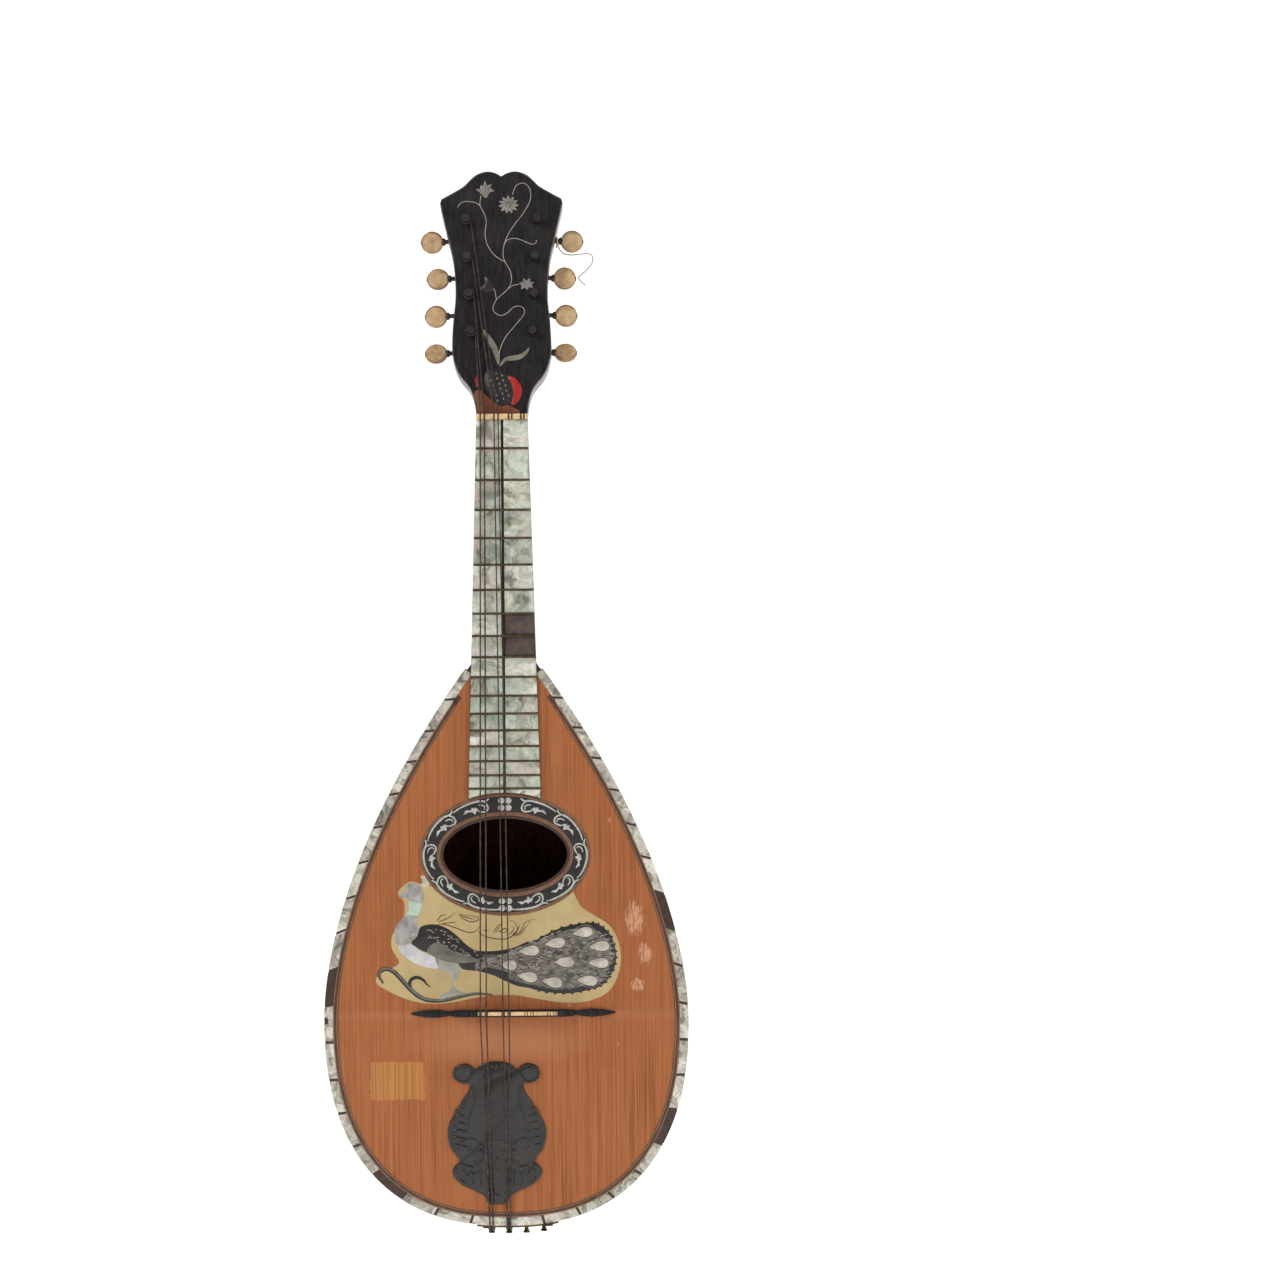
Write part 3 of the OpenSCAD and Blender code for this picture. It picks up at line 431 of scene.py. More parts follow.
def metal_look(name, dark, light, stain, scale=1.0, metallic=0.85):
    look = Look(name, metallic=metallic)
    cloud = look.noise(130 * scale, 6, 0.7)
    fine = look.noise(900 * scale, 4, 0.75)
    base = look.ramp(cloud, [(0.35, dark), (0.65, light)])
    look.colour(look.mix(look.ramp(fine, [(0.48, 0.0), (0.68, 0.85)]), base, stain))
    look.rough(look.noise(300 * scale, 5, 0.7), 0.30, 0.68)
    look.bump(fine, 0.035, 0.7)
    return look.mat


def wire_look():
    look = Look("string_wire", metallic=0.55)
    rust = look.noise(260, 5, 0.75)
    base = look.ramp(rust, [(0.35, (0.034, 0.024, 0.021)), (0.55, (0.078, 0.057, 0.050)),
                            (0.75, (0.165, 0.130, 0.115))])
    look.colour(base)
    look.rough(rust, 0.35, 0.65)
    look.bump(rust, 0.06, 0.9)
    return look.mat


def ochre_look():
    look = Look("ochre_plate", coat=0.3, coat_roughness=0.15)
    cloud = look.noise(40, 5, 0.65)
    base = look.ramp(cloud, [(0.3, (0.40, 0.285, 0.120)), (0.55, (0.49, 0.365, 0.170)),
                             (0.8, (0.55, 0.43, 0.22))])
    haze = look.ramp(look.noise(190, 5, 0.75), [(0.62, 0.0), (0.80, 0.5)])
    look.colour(look.mix(haze, base, (0.30, 0.20, 0.085)))
    look.rough(look.noise(110, 5, 0.7), 0.24, 0.44)
    look.bump(look.noise(500, 4, 0.7), 0.02, 0.5)
    return look.mat


def paint_look(name, dark, light, scale=220, low=0.30, high=0.50, coat=0.25):
    """A thin inlay or paint with cloudy tone and fine scratches."""
    look = Look(name, coat=coat, coat_roughness=0.2)
    cloud = look.noise(scale, 5, 0.7)
    base = look.ramp(cloud, [(0.32, dark), (0.68, light)])
    scratch = look.ramp(look.noise(1.0, 3, 0.8, look.stretch((1400, 1400, 200))), [(0.66, 0.0), (0.76, 0.45)])
    look.colour(look.mix(scratch, base, times(dark, 0.5)))
    look.rough(cloud, low, high)
    look.bump(cloud, 0.03, 0.5)
    return look.mat


def cotton_look():
    look = Look("cotton", roughness=0.85)
    look.shader.inputs["Sheen Weight"].default_value = 0.3
    twist = look.node("ShaderNodeTexWave", "Fac", {"bands_direction": "DIAGONAL"}, Vector=look.coords,
                      Scale=620.0, Distortion=1.5)
    look.colour(look.ramp(twist, [(0.2, (0.38, 0.29, 0.20)), (0.8, (0.70, 0.60, 0.47))]))
    look.bump(twist, 0.10, 0.9)
    return look.mat


def rib_look():
    """The ribs' wood: streaks that start afresh from rib to rib, and scuffs."""
    look = Look("rib_wood", coat=0.45, coat_roughness=0.15)
    tone = look.piece_tone()
    shift = look.node("ShaderNodeCombineXYZ", "Vector", X=look.math("MULTIPLY", tone, 3.0), Y=0.0, Z=tone)
    streaks = look.noise(1.0, 6, 0.7, look.add(look.stretch((210, 150, 8)), shift), 0.5)
    base = look.ramp(streaks, [(0.30, (0.026, 0.009, 0.006)), (0.50, (0.105, 0.034, 0.017)),
                               (0.70, (0.180, 0.066, 0.031))])
    base = look.mix(look.math("MULTIPLY", tone, 0.45), base, (0.055, 0.018, 0.010))
    scuff = look.ramp(look.noise(30, 5, 0.7), [(0.62, 0.0), (0.80, 0.45)])
    look.colour(look.mix(scuff, base, (0.23, 0.11, 0.065)))
    look.rough(look.noise(70, 5, 0.7), 0.24, 0.46)
    look.bump(streaks, 0.04, 0.5)
    return look.mat


def carved_look():
    """The black shell of the carved guard, brown where it is rubbed."""
    look = Look("carved_shell", coat=0.35, coat_roughness=0.12, specular=0.35)
    cloud = look.noise(120, 5, 0.7)
    base = look.ramp(cloud, [(0.35, (0.008, 0.006, 0.006)), (0.65, (0.020, 0.016, 0.014))])
    brown = look.ramp(look.noise(45, 4, 0.7), [(0.56, 0.0), (0.72, 0.6)])
    look.colour(look.mix(brown, base, (0.055, 0.022, 0.014)))
    look.rough(cloud, 0.20, 0.36)
    look.bump(look.noise(190, 4, 0.7), 0.12, 0.8)
    return look.mat


# Thin inlays and paints: the material's name, its dark and light tone, and what else paint_look takes.
PAINTS = {
    "line_wood": ("line_wood", (0.24, 0.12, 0.05), (0.42, 0.24, 0.11)),
    "filler": ("filler_wood", (0.085, 0.034, 0.018), (0.19, 0.085, 0.045), 160),
    "mastic": ("mastic", (0.030, 0.014, 0.010), (0.060, 0.030, 0.020), 300),
    "shell_black": ("black_shell", (0.010, 0.009, 0.009), (0.030, 0.026, 0.024), 260),
    "post": ("post_black", (0.010, 0.008, 0.008), (0.032, 0.026, 0.024)),
    "bare_board": ("bare_board", (0.045, 0.030, 0.028), (0.110, 0.078, 0.068), 160, 0.5, 0.65, 0.0),
    "pearl_white": ("pearl_white", (0.42, 0.40, 0.42), (0.62, 0.60, 0.60), 130, 0.2, 0.35, 0.4),
    "pearl_grey": ("pearl_grey", (0.17, 0.15, 0.135), (0.42, 0.42, 0.39), 160, 0.2, 0.35, 0.4),
    "pearl_green": ("pearl_green", (0.32, 0.42, 0.35), (0.50, 0.62, 0.54), 130, 0.2, 0.35, 0.4),
    "pearl_warm": ("pearl_warm", (0.30, 0.265, 0.21), (0.62, 0.57, 0.48), 150, 0.2, 0.35, 0.4),
    "pearl_dull": ("pearl_dull", (0.26, 0.25, 0.20), (0.36, 0.36, 0.30), 150, 0.25, 0.4, 0.3),
    "wing_shell": ("wing_shell", (0.085, 0.078, 0.060), (0.20, 0.185, 0.145), 140, 0.25, 0.4, 0.3),
    "feather": ("feather", (0.150, 0.130, 0.108), (0.340, 0.305, 0.262), 200, 0.3, 0.45, 0.2),
    "tail_shell": ("tail_shell", (0.012, 0.010, 0.009), (0.190, 0.165, 0.140), 300, 0.25, 0.45, 0.3),
    "engraving": ("engraving", (0.050, 0.022, 0.010), (0.085, 0.040, 0.018), 300),
    "vine": ("vine_silver", (0.26, 0.23, 0.19), (0.45, 0.42, 0.36), 300, 0.3, 0.45, 0.2),
    "flower": ("flower_shell", (0.15, 0.135, 0.12), (0.30, 0.28, 0.25), 200, 0.3, 0.45, 0.2),
    "leaf": ("leaf_shell", (0.12, 0.115, 0.085), (0.26, 0.25, 0.19), 200, 0.3, 0.45, 0.2),
    "red": ("red_shell", (0.30, 0.012, 0.010), (0.46, 0.020, 0.015), 160),
    "bare": ("bare_wood", (0.11, 0.030, 0.012), (0.29, 0.090, 0.032), 120, 0.45, 0.6, 0.0),
    # the pale strip along the head's edges: a painted highlight where the side facets catch the light
    "worn": ("worn_edge", (0.045, 0.036, 0.030), (0.19, 0.165, 0.145), 160, 0.5, 0.7, 0.0),
}


def build_materials():
    """Every look, under the name that the pieces use for it."""
    looks = {key: paint_look(*row) for key, row in PAINTS.items()}
    looks.update({
        "spruce": soundboard_look(), "rosewood": rosewood_look(), "inner": plain_wood_look(),
        "rib": rib_look(), "ochre": ochre_look(), "wire": wire_look(), "cotton": cotton_look(),
        "ebony": ebony_look(), "head": ebony_look("head_black", 0.9, 0.34, 0.52),
        "shell_carved": carved_look(), "bone": bone_look(), "ivory": bone_look("ivory", 1.55),
        "button": bone_look("button_bone", 1.34),
        "pearl": pearl_look("pearl", [(0.0, (0.44, 0.46, 0.38)), (0.2, (0.62, 0.63, 0.54)),
                                      (0.4, (0.34, 0.37, 0.30)), (0.6, (0.74, 0.70, 0.62)),
                                      (0.8, (0.46, 0.49, 0.42)), (1.0, (0.60, 0.56, 0.50))]),
        "edge_pearl": pearl_look("edge_pearl", [(0.0, (0.34, 0.28, 0.24)), (0.5, (0.46, 0.41, 0.37)),
                                                (1.0, (0.60, 0.54, 0.49))], 1.2, 0.12)})
    for key, *row in (
            ("brass", "aged_brass", (0.060, 0.035, 0.018), (0.19, 0.12, 0.055), (0.045, 0.025, 0.015)),
            ("fret", "fret_brass", (0.060, 0.045, 0.025), (0.16, 0.12, 0.07), (0.03, 0.02, 0.012)),
            ("steel", "dark_steel", (0.040, 0.030, 0.026), (0.12, 0.095, 0.08), (0.06, 0.028, 0.018)),
            ("silver", "silver_line", (0.40, 0.40, 0.36), (0.62, 0.62, 0.57), (0.20, 0.19, 0.16), 1.5, 0.5)):
        looks[key] = metal_look(*row)
    return looks


def paint_nodes(looks):
    """Gives every CAD node its material."""
    tuners = [f"{side}_{i}" for side in ("bass", "treble") for i in range(1, 5)]
    table = {
        "spruce": ["soundboard"], "rib": ["bowl_ribs"],
        "rosewood": ["end_clasp", "headstock", "purfling", "neck"], "head": ["head_veneer"],
        "inner": ["neck_block", "tail_block", "linings", "braces"], "ochre": ["pickguard"],
        "ebony": ["fingerboard", "rosette", "bridge_base", "lyre_guard"], "fret": ["frets"],
        "ivory": ["nut", "bridge_saddle"], "pearl": ["pearl_plates", "edge_binding"],
        "brass": ["tailpiece", "hitch_pins", "tuner_plates", "screws"] + [f"gear_{n}" for n in tuners],
        "post": [f"post_{n}" for n in tuners], "steel": [f"worm_{n}" for n in tuners],
        "bone": [f"button_{n}" for n in tuners], "wire": ["strings"], "cotton": ["loose_thread"]}
    for look, names in table.items():
        for name in names:
            me = frame["nodes"][name].data
            me.materials.clear()
            me.materials.append(looks[look])


# ---- Mesh building --------------------------------------------------------------------------------

def catmull(p0, p1, p2, p3, t):
    return [0.5 * (2 * b + (c - a) * t + (2 * a - 5 * b + 4 * c - d) * t * t
                   + (3 * b - a - 3 * c + d) * t ** 3)
            for a, b, c, d in zip(p0, p1, p2, p3)]


def smooth(points, steps=6, closed=False):
    """A smooth curve through given points."""
    n = len(points)
    pick = (lambda i: points[i % n]) if closed else (lambda i: points[min(max(i, 0), n - 1)])
    spans = n if closed else n - 1
    out = [catmull(pick(i - 1), pick(i), pick(i + 1), pick(i + 2), k / steps)
           for i in range(spans) for k in range(steps)]
    return out if closed else out + [list(points[-1])]


class Shape:
    """Gathers vertices and faces in millimetres, then makes one object of them."""

    def __init__(self):
        self.verts = []
        self.faces = []
        self.tones = []
        self.tone = 0.0

    def add(self, verts, faces):
        base = len(self.verts)
        self.verts += [tuple(v) for v in verts]
        self.tones += [self.tone] * len(verts)
        self.faces += [tuple(base + i for i in f) for f in faces]

    def loft(self, rings, caps=True):
        """Joins closed rings of equal count, and closes both ends unless caps is off."""
        n = len(rings[0])
        faces = []
        for i in range(len(rings) - 1):
            for j in range(n):
                a, b = i * n + j, i * n + (j + 1) % n
                faces.append((a, b, b + n, a + n))
        if caps:
            faces.append(tuple(range(n - 1, -1, -1)))
            faces.append(tuple((len(rings) - 1) * n + j for j in range(n)))
        self.add([v for r in rings for v in r], faces)

    def ribbon(self, points, widths, place, height, sink=0.12):
        """A slightly domed strip along a path in a surface; place(u, v, h) gives a point h above it."""
        n = len(points)
        rings = []
        for i, (u, v) in enumerate(points):
            a, b = points[max(i - 1, 0)], points[min(i + 1, n - 1)]
            du, dv = b[0] - a[0], b[1] - a[1]
            length = math.hypot(du, dv) or 1.0
            nu, nv = -dv / length, du / length
            w = widths(i / (n - 1)) / 2 if callable(widths) else widths / 2
            section = [(-w, -sink), (-w, 0.55 * height), (-0.6 * w, height), (0, 1.1 * height),
                       (0.6 * w, height), (w, 0.55 * height), (w, -sink)]
            rings.append([place(u + nu * s, v + nv * s, h) for s, h in section])
        self.loft(rings)

    def plate(self, outline, place, height, sink=0.12, bevel=0.12):
        """A flat piece with an eased edge, cut to a closed outline."""
        n = len(outline)
        area = sum(outline[i][0] * outline[(i + 1) % n][1] - outline[(i + 1) % n][0] * outline[i][1]
                   for i in range(n))
        if area < 0:
            outline = outline[::-1]
        inner = []
        for i in range(n):
            a, b = outline[i - 1], outline[(i + 1) % n]
            du, dv = b[0] - a[0], b[1] - a[1]
            length = math.hypot(du, dv) or 1.0
            inner.append((outline[i][0] - dv / length * bevel, outline[i][1] + du / length * bevel))
        rings = [[place(u, v, -sink) for u, v in outline],
                 [place(u, v, height - bevel / 2) for u, v in outline],
                 [place(u, v, height) for u, v in inner]]
        self.loft(rings)

    def tube(self, points, radius, sides=10):
        pts = [Vector(p) for p in points]
        normal = None
        rings = []
        for i, p in enumerate(pts):
            d = (pts[min(i + 1, len(pts) - 1)] - pts[max(i - 1, 0)]).normalized()
            if normal is None:
                normal = d.orthogonal().normalized()
            normal = (normal - d * normal.dot(d)).normalized()
            side = d.cross(normal)
            rings.append([p + radius * (math.cos(a) * normal + math.sin(a) * side)
                          for a in (2 * math.pi * k / sides for k in range(sides))])
        self.loft(rings)

    def lathe(self, profile, matrix, sides=40, tones=None):
        """Turns (radius, height) points round the matrix's own Z axis; tones gives each ring its tone."""
        rings = [[matrix @ Vector((r * math.cos(a), r * math.sin(a), h))
                  for a in (2 * math.pi * k / sides for k in range(sides))] for r, h in profile]
        start = len(self.verts)
        self.loft(rings)
        for k, tone in enumerate(tones or []):
            self.tones[start + k * sides:start + (k + 1) * sides] = [tone] * sides

    def make(self, name, material, body="root", slot=None, replaces=()):
        me = bpy.data.meshes.new(name)
        me.from_pydata([Vector(v) * MM for v in self.verts], [], self.faces)
        tones = me.attributes.new("tone", "FLOAT", "POINT")
        tones.data.foreach_set("value", self.tones)
        bm = bmesh.new()
        bm.from_mesh(me)
        bmesh.ops.recalc_face_normals(bm, faces=bm.faces)
        caps = [f for f in bm.faces if len(f.verts) > 4]
        bmesh.ops.triangulate(bm, faces=caps, ngon_method="EAR_CLIP")
        bm.to_mesh(me)
        bm.free()
        me.shade_smooth()
        me.set_sharp_from_angle(angle=math.radians(SHARP_ANGLE))
        me.materials.append(material)
        ob = bpy.data.objects.new(name, me)
        bpy.context.scene.collection.objects.link(ob)
        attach(ob, body)
        if replaces:
            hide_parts(*replaces)
        return ob


def lerp(a, b, t):
    return a + (b - a) * t


def swell(least, more, rate=1, start=0, power=1):
    """The width of a stroke along its length: thin, wider by more in the middle, and thin again."""
    return lambda t: least + more * math.sin(math.pi * min(t * rate + start, 1)) ** power


def flat_piece(name, look, slot, outline, place, height, bevel=0.12):
    """One flat piece that is an object of its own."""
    piece = Shape()
    piece.plate(outline, place, height, bevel=bevel)
    piece.make(name, look, slot=slot)


# ---- Surfaces that ornaments lie on ---------------------------------------------------------------

def bend_drop(z):
    """How far the soundboard has fallen away behind its bend at height z."""
    return max(BELLY_Z - z, 0) * math.tan(CANT)


def on_top(x, z, h):
    """A point h above the soundboard at plan position x, z."""
    if z >= BELLY_Z:
        return (x, -h, z)
    return (x, bend_drop(z) - h * math.cos(CANT), z - h * math.sin(CANT))


def on_head(x, s, h):
    """A point h above the face of the head, s up from its foot."""
    return (x, s * math.sin(TILT) - h * math.cos(TILT), NUT_BACK + s * math.cos(TILT) + h * math.sin(TILT))


def on_board(x, z, h):
    """A point h above the face of the fingerboard."""
    return (x, -BOARD_T - h, z)


def raised(surface, lift):
    """The same surface, lift higher."""
    return lambda u, v, h: surface(u, v, h + lift)


def above(lift):
    """The soundboard's surface, lift higher."""
    return raised(on_top, lift)


# ---- Body -----------------------------------------------------------------------------------------

def rim_raw(q):
    """A point on the treble rim before any offset."""
    if q <= 1:
        z = lerp(JOINT_Z, BELLY_Z, q)
        return (BODY_W / 2 * (1 - max((z - BELLY_Z) / SHOULDER_LEN, 0) ** SHOULDER_POW), z)
    a = math.radians(90 * min(q - 1, 1))
    return (BODY_W / 2 * max(1 - math.sin(a) ** TAIL_POW, 0) ** (1 / TAIL_POW),
            BELLY_Z - TAIL_LEN * math.sin(a))


def rim(q, off=0.0):
    """A point on the treble rim: q runs 0 at the neck, 1 at the widest line, 2 at the tail."""
    p, a, b = rim_raw(q), rim_raw(max(q - 0.01, 0)), rim_raw(min(q + 0.01, 2))
    du, dv = b[0] - a[0], b[1] - a[1]
    length = math.hypot(du, dv)
    nu, nv = (0, -1) if q >= 2 else (-dv / length, du / length)
    return (max(p[0] + off * nu, 0), p[1] + off * nv)


def both_sides(run):
    """The treble run joined at the tail to its mirror image."""
    return run + [(-x, z) for x, z in reversed(run[:-1])]


RIM_STEPS = [lerp(0.02, 1, i / 60) for i in range(61)] + [1 + i / 80 for i in range(1, 81)]


def bowl(q, turn, off):
    """A point on the bowl, turn 0 at the treble rim, over the back, to 180 at the bass rim."""
    power = 2 / SECTION_POW
    if q <= 1:
        z = lerp(JOINT_Z, BELLY_Z, q)
        s = max(z - BELLY_Z, 0)
        back_len = (JOINT_Z - BELLY_Z) / (1 - HEEL_DEPTH / BOWL_DEPTH) ** (1 / BACK_POW)
        w = BODY_W / 2 * (1 - (s / SHOULDER_LEN) ** SHOULDER_POW) + off
        y0 = TOP_T
        deep = BOWL_DEPTH * (1 - (s / back_len) ** BACK_POW) + off
    else:
        a = math.radians(90 * (q - 1))
        z = BELLY_Z - (TAIL_LEN + off) * math.sin(a)
        w = (BODY_W / 2 + off) * max(1 - math.sin(a) ** TAIL_POW, 0) ** (1 / TAIL_POW)
        y0 = bend_drop(z) + TOP_T
        deep = y0 + (BOWL_DEPTH + off - y0) * max(1 - math.sin(a) ** END_POW, 0) ** (1 / END_POW)
    c, s = math.cos(math.radians(turn)), math.sin(math.radians(turn))
    return (math.copysign(abs(c) ** power, c) * w, y0 + (deep - y0) * max(s, 0) ** power, z)


def rim_table():
    """Rim stations with the length along the rim from the neck to each."""
    out, length = [], 0.0
    last = rim(RIM_STEPS[0])
    for q in RIM_STEPS:
        p = rim(q)
        length += math.dist(p, last)
        out.append((length, q))
        last = p
    return out


RIM_LENGTHS = rim_table()
RIM_LEN = RIM_LENGTHS[-1][0]


def along_rim(s):
    """q at a distance along the rim from the neck."""
    for (s0, q0), (s1, q1) in zip(RIM_LENGTHS, RIM_LENGTHS[1:]):
        if s <= s1:
            return lerp(q0, q1, (s - s0) / max(s1 - s0, 1e-9))
    return 2.0


def bowl_pieces(looks):
    """The staves, the pale lines between them and the line of the end clasp."""
    stations = [i / 26 for i in range(27)] + [1 + a / 90 for a in range(4, 81, 4)]
    skin, shell, line_half = -1.4, 1.3, 0.22
    across = (0.0, 0.12, 0.5, 0.88, 1.0)
    ribs = Shape()
    for k in range(RIB_COUNT):
        a, b = 180 * k / RIB_COUNT, 180 * (k + 1) / RIB_COUNT
        ribs.tone = rng.random()
        rings = []
        for q in stations:
            outer = [bowl(q, lerp(a, b, t), skin - 0.35 * (2 * t - 1) ** 4) for t in across]
            rings.append(outer + [bowl(q, b, skin - shell), bowl(q, a, skin - shell)])
        ribs.loft(rings)
    ribs.make("ribs", looks["rib"], slot="rosewood", replaces=["bowl_ribs"])
    lines = Shape()
    for k in range(1, RIB_COUNT):
        a = 180 * k / RIB_COUNT
        lines.loft([[bowl(q, a - line_half, skin - 0.22), bowl(q, a + line_half, skin - 0.22),
                     bowl(q, a + line_half, skin - 0.9), bowl(q, a - line_half, skin - 0.9)]
                    for q in stations])
    lines.make("rib_lines", looks["line_wood"], slot="inner_wood")
    clasp_line = Shape()
    q = 1 + 52 / 90
    clasp_line.tube([bowl(q, t, -0.35) for t in range(2, 179, 4)], 0.45, 6)
    clasp_line.make("clasp_line", looks["line_wood"], slot="inner_wood")


def edge_pieces(looks):
    """The pearl blocks round the rim, the lost ones' fillers, and the fine lines inside them."""
    lost = ((92.2, -283.3), (-97.1, -316.4), (-66.0, -429.7), (85.1, -405.0))
    joint_half = 0.78
    pearl, gone, base = Shape(), Shape(), Shape()

    def lean(s):
        """How far toward the neck a joint's inner end lies from its outer end."""
        t = min(max((s / RIM_LEN - 0.42) / 0.22, 0), 1)
        return lerp(3.6, -0.9, t * t * (3 - 2 * t))

    lengths = [lerp(16.5, 18.5, rng.random()) for _ in range(2 * EDGE_BLOCKS)]
    for side in (1, -1):
        row = lengths[:EDGE_BLOCKS] if side == 1 else lengths[EDGE_BLOCKS:]
        scale = RIM_LEN / sum(row)
        joints_at = [0.0]
        for length in row:
            joints_at.append(joints_at[-1] + length * scale)
        for s0, s1 in zip(joints_at, joints_at[1:]):
            o0, o1 = s0 + joint_half, min(s1, RIM_LEN) - joint_half
            i0, i1 = max(o0 - lean(s0), 0.1), min(o1 - lean(s1), RIM_LEN - 0.25)
            outer = [rim(along_rim(lerp(o0, o1, t / 6)), -0.05) for t in range(7)]
            inner = [rim(along_rim(lerp(i1, i0, t / 6)), -BINDING_W) for t in range(7)]
            outline = [(side * x, z) for x, z in outer + inner]
            mid = outline[3]
            pearl_here = all(math.dist(mid, spot) > 8.5 for spot in lost)
            target = pearl if pearl_here else gone
            target.tone = rng.random()
            target.plate(outline, on_top, 0.1 if pearl_here else -0.35, sink=TOP_T, bevel=0.18)
    pearl.make("edge_pearl", looks["edge_pearl"], slot="pearl", replaces=["edge_binding"])
    gone.make("edge_filler", looks["filler"], slot="rosewood")
    outer = [rim(q, -0.25) for q in RIM_STEPS]
    inner = [rim(q, -BINDING_W + 0.02) for q in RIM_STEPS]
    pairs = list(zip(outer, inner))
    pairs += [((-o[0], o[1]), (-i[0], i[1])) for o, i in reversed(pairs[:-1])]
    base.loft([[on_top(*o, -0.12), on_top(*i, -0.12), on_top(*i, -TOP_T), on_top(*o, -TOP_T)]
               for o, i in pairs])
    base.make("edge_base", looks["mastic"], slot="black_mastic")
    # fine pale and dark lines inside the pearl edge
    lines, darks = Shape(), Shape()
    for off, width, shape in ((-5.25, 0.32, lines), (-6.35, 0.28, darks), (-7.15, 0.30, lines),
                              (-7.6, 0.36, darks)):
        run = both_sides([rim(q, off) for q in RIM_STEPS[5:]])
        shape.ribbon(run, width, above(0.1), 0.06, sink=0.3)
    lines.make("edge_lines", looks["line_wood"], slot="inner_wood")
    darks.make("edge_dark_lines", looks["mastic"], slot="black_mastic")
    # the soft rounded rim of the ribs just outside the pearl
    lip = Shape()
    run = both_sides([rim(q, -1.3) for q in RIM_STEPS])
    lip.loft([[(x, bend_drop(z) + TOP_T + y, z) for y in (0.0, 2.2)] +
              [(x * 0.99, bend_drop(z) + TOP_T + y, z * 0.999 - 0.3)
               for y in (2.2, 0.0)] for x, z in run])
    lip.make("rim_lip", looks["rib"], slot="rosewood")


def neck_pieces(looks):
    """The neck, rounded behind, from its heel to the foot of the head."""
    head_depth = HEAD_T * math.cos(TILT)

    def ring(z, depth, slope=0.0):
        h = board_half_at(min(z, 0))
        out = []
        for t in range(0, 181, 9):
            a = math.radians(t)
            y = depth * max(math.sin(a), 0) ** 0.85
            out.append((h * math.copysign(abs(math.cos(a)) ** 0.8, math.cos(a)), y, z - slope * y))
        return out

    stations = [lerp(JOINT_Z, -6, i / 24) for i in range(25)]
    rings = [ring(z, neck_depth(z)) for z in stations]
    rings += [ring(lerp(-6, NUT_BACK, t), lerp(neck_depth(-6), head_depth, t), math.tan(TILT) * t * t)
              for t in (0.4, 0.7, 1.0)]
    neck = Shape()
    neck.loft(rings)
    neck.make("neck_wood", looks["rosewood"], slot="rosewood", replaces=["neck"])


def board_half_at(z):
    """Half the width of the fingerboard at height z."""
    return lerp(NUT_W, BOARD_END_W, z / BOARD_END_Z) / 2


def neck_depth(z):
    """The neck thickens evenly to the heel, and then more and more."""
    if z > HEEL_Z:
        return lerp(NECK_THIN, NECK_THICK, z / HEEL_Z)
    return NECK_THICK + HEEL_GROWTH * ((HEEL_Z - z) / HEEL_RUN) ** 2


def fret_z(n):
    """Where equal temperament puts fret n."""
    return -SCALE_LENGTH * (1 - 2 ** (-n / 12))


def board_pieces(looks):
    """Pearl plates with eased edges, a few of them cracked, between the frets."""
    plates = Shape()
    for n in range(FRETS + 1):
        for side in (-1, 1):
            if side > 0 and n in BARE_SPACES:
                continue
            z0 = nut_low.z - 0.15 if n == 0 else fret_z(n) - 0.55
            if n < FRETS:
                z1 = fret_z(n + 1) + 0.55
                low = [(side * 0.75, z1), (side * (board_half_at(z1) - 0.15), z1)]
            else:
                reach = board_half_at(BOARD_END_Z - 4) - 0.3
                xs = [lerp(reach, 0.75, i / 6) for i in range(7)]
                low = [(side * x, HOLE_Z + 0.4 + ROSETTE[1] * math.sqrt(1 - (x / ROSETTE[0]) ** 2))
                       for x in xs][::-1]
            outline = low + [(side * (board_half_at(z0) - 0.15), z0), (side * 0.75, z0)]
            plates.tone = rng.random()
            plates.plate(outline, on_board, 0.0, sink=0.85, bevel=0.1)
    bare, slots = Shape(), Shape()
    for n in BARE_SPACES:
        z0, z1 = fret_z(n) - 0.45, fret_z(n + 1) + 0.45
        bare.plate([(0.8, z1), (board_half_at(z1) - 0.2, z1), (board_half_at(z0) - 0.2, z0), (0.8, z0)],
                   raised(on_board, -0.9), 0.22, sink=0.05)
    bare.make("bare_board", looks["bare_board"], slot="ebony")
    notch = ((-0.36, -0.03), (0.36, -0.03), (0.3, 0.6), (-0.3, 0.6))
    for x in (-12.1, -9.8, -4.4, -2.1, 3.8, 5.6, 10.7, 12.4):
        slots.loft([[(x + a, nut_low.y + b, z) for a, b in notch]
                    for z in (nut_low.z - 0.02, nut_high.z)])
    slots.make("nut_slots", looks["mastic"], slot="ebony")
    plates.make("board_pearl", looks["pearl"], slot="pearl", replaces=["pearl_plates"])


# ---- Moving pieces --------------------------------------------------------------------------------

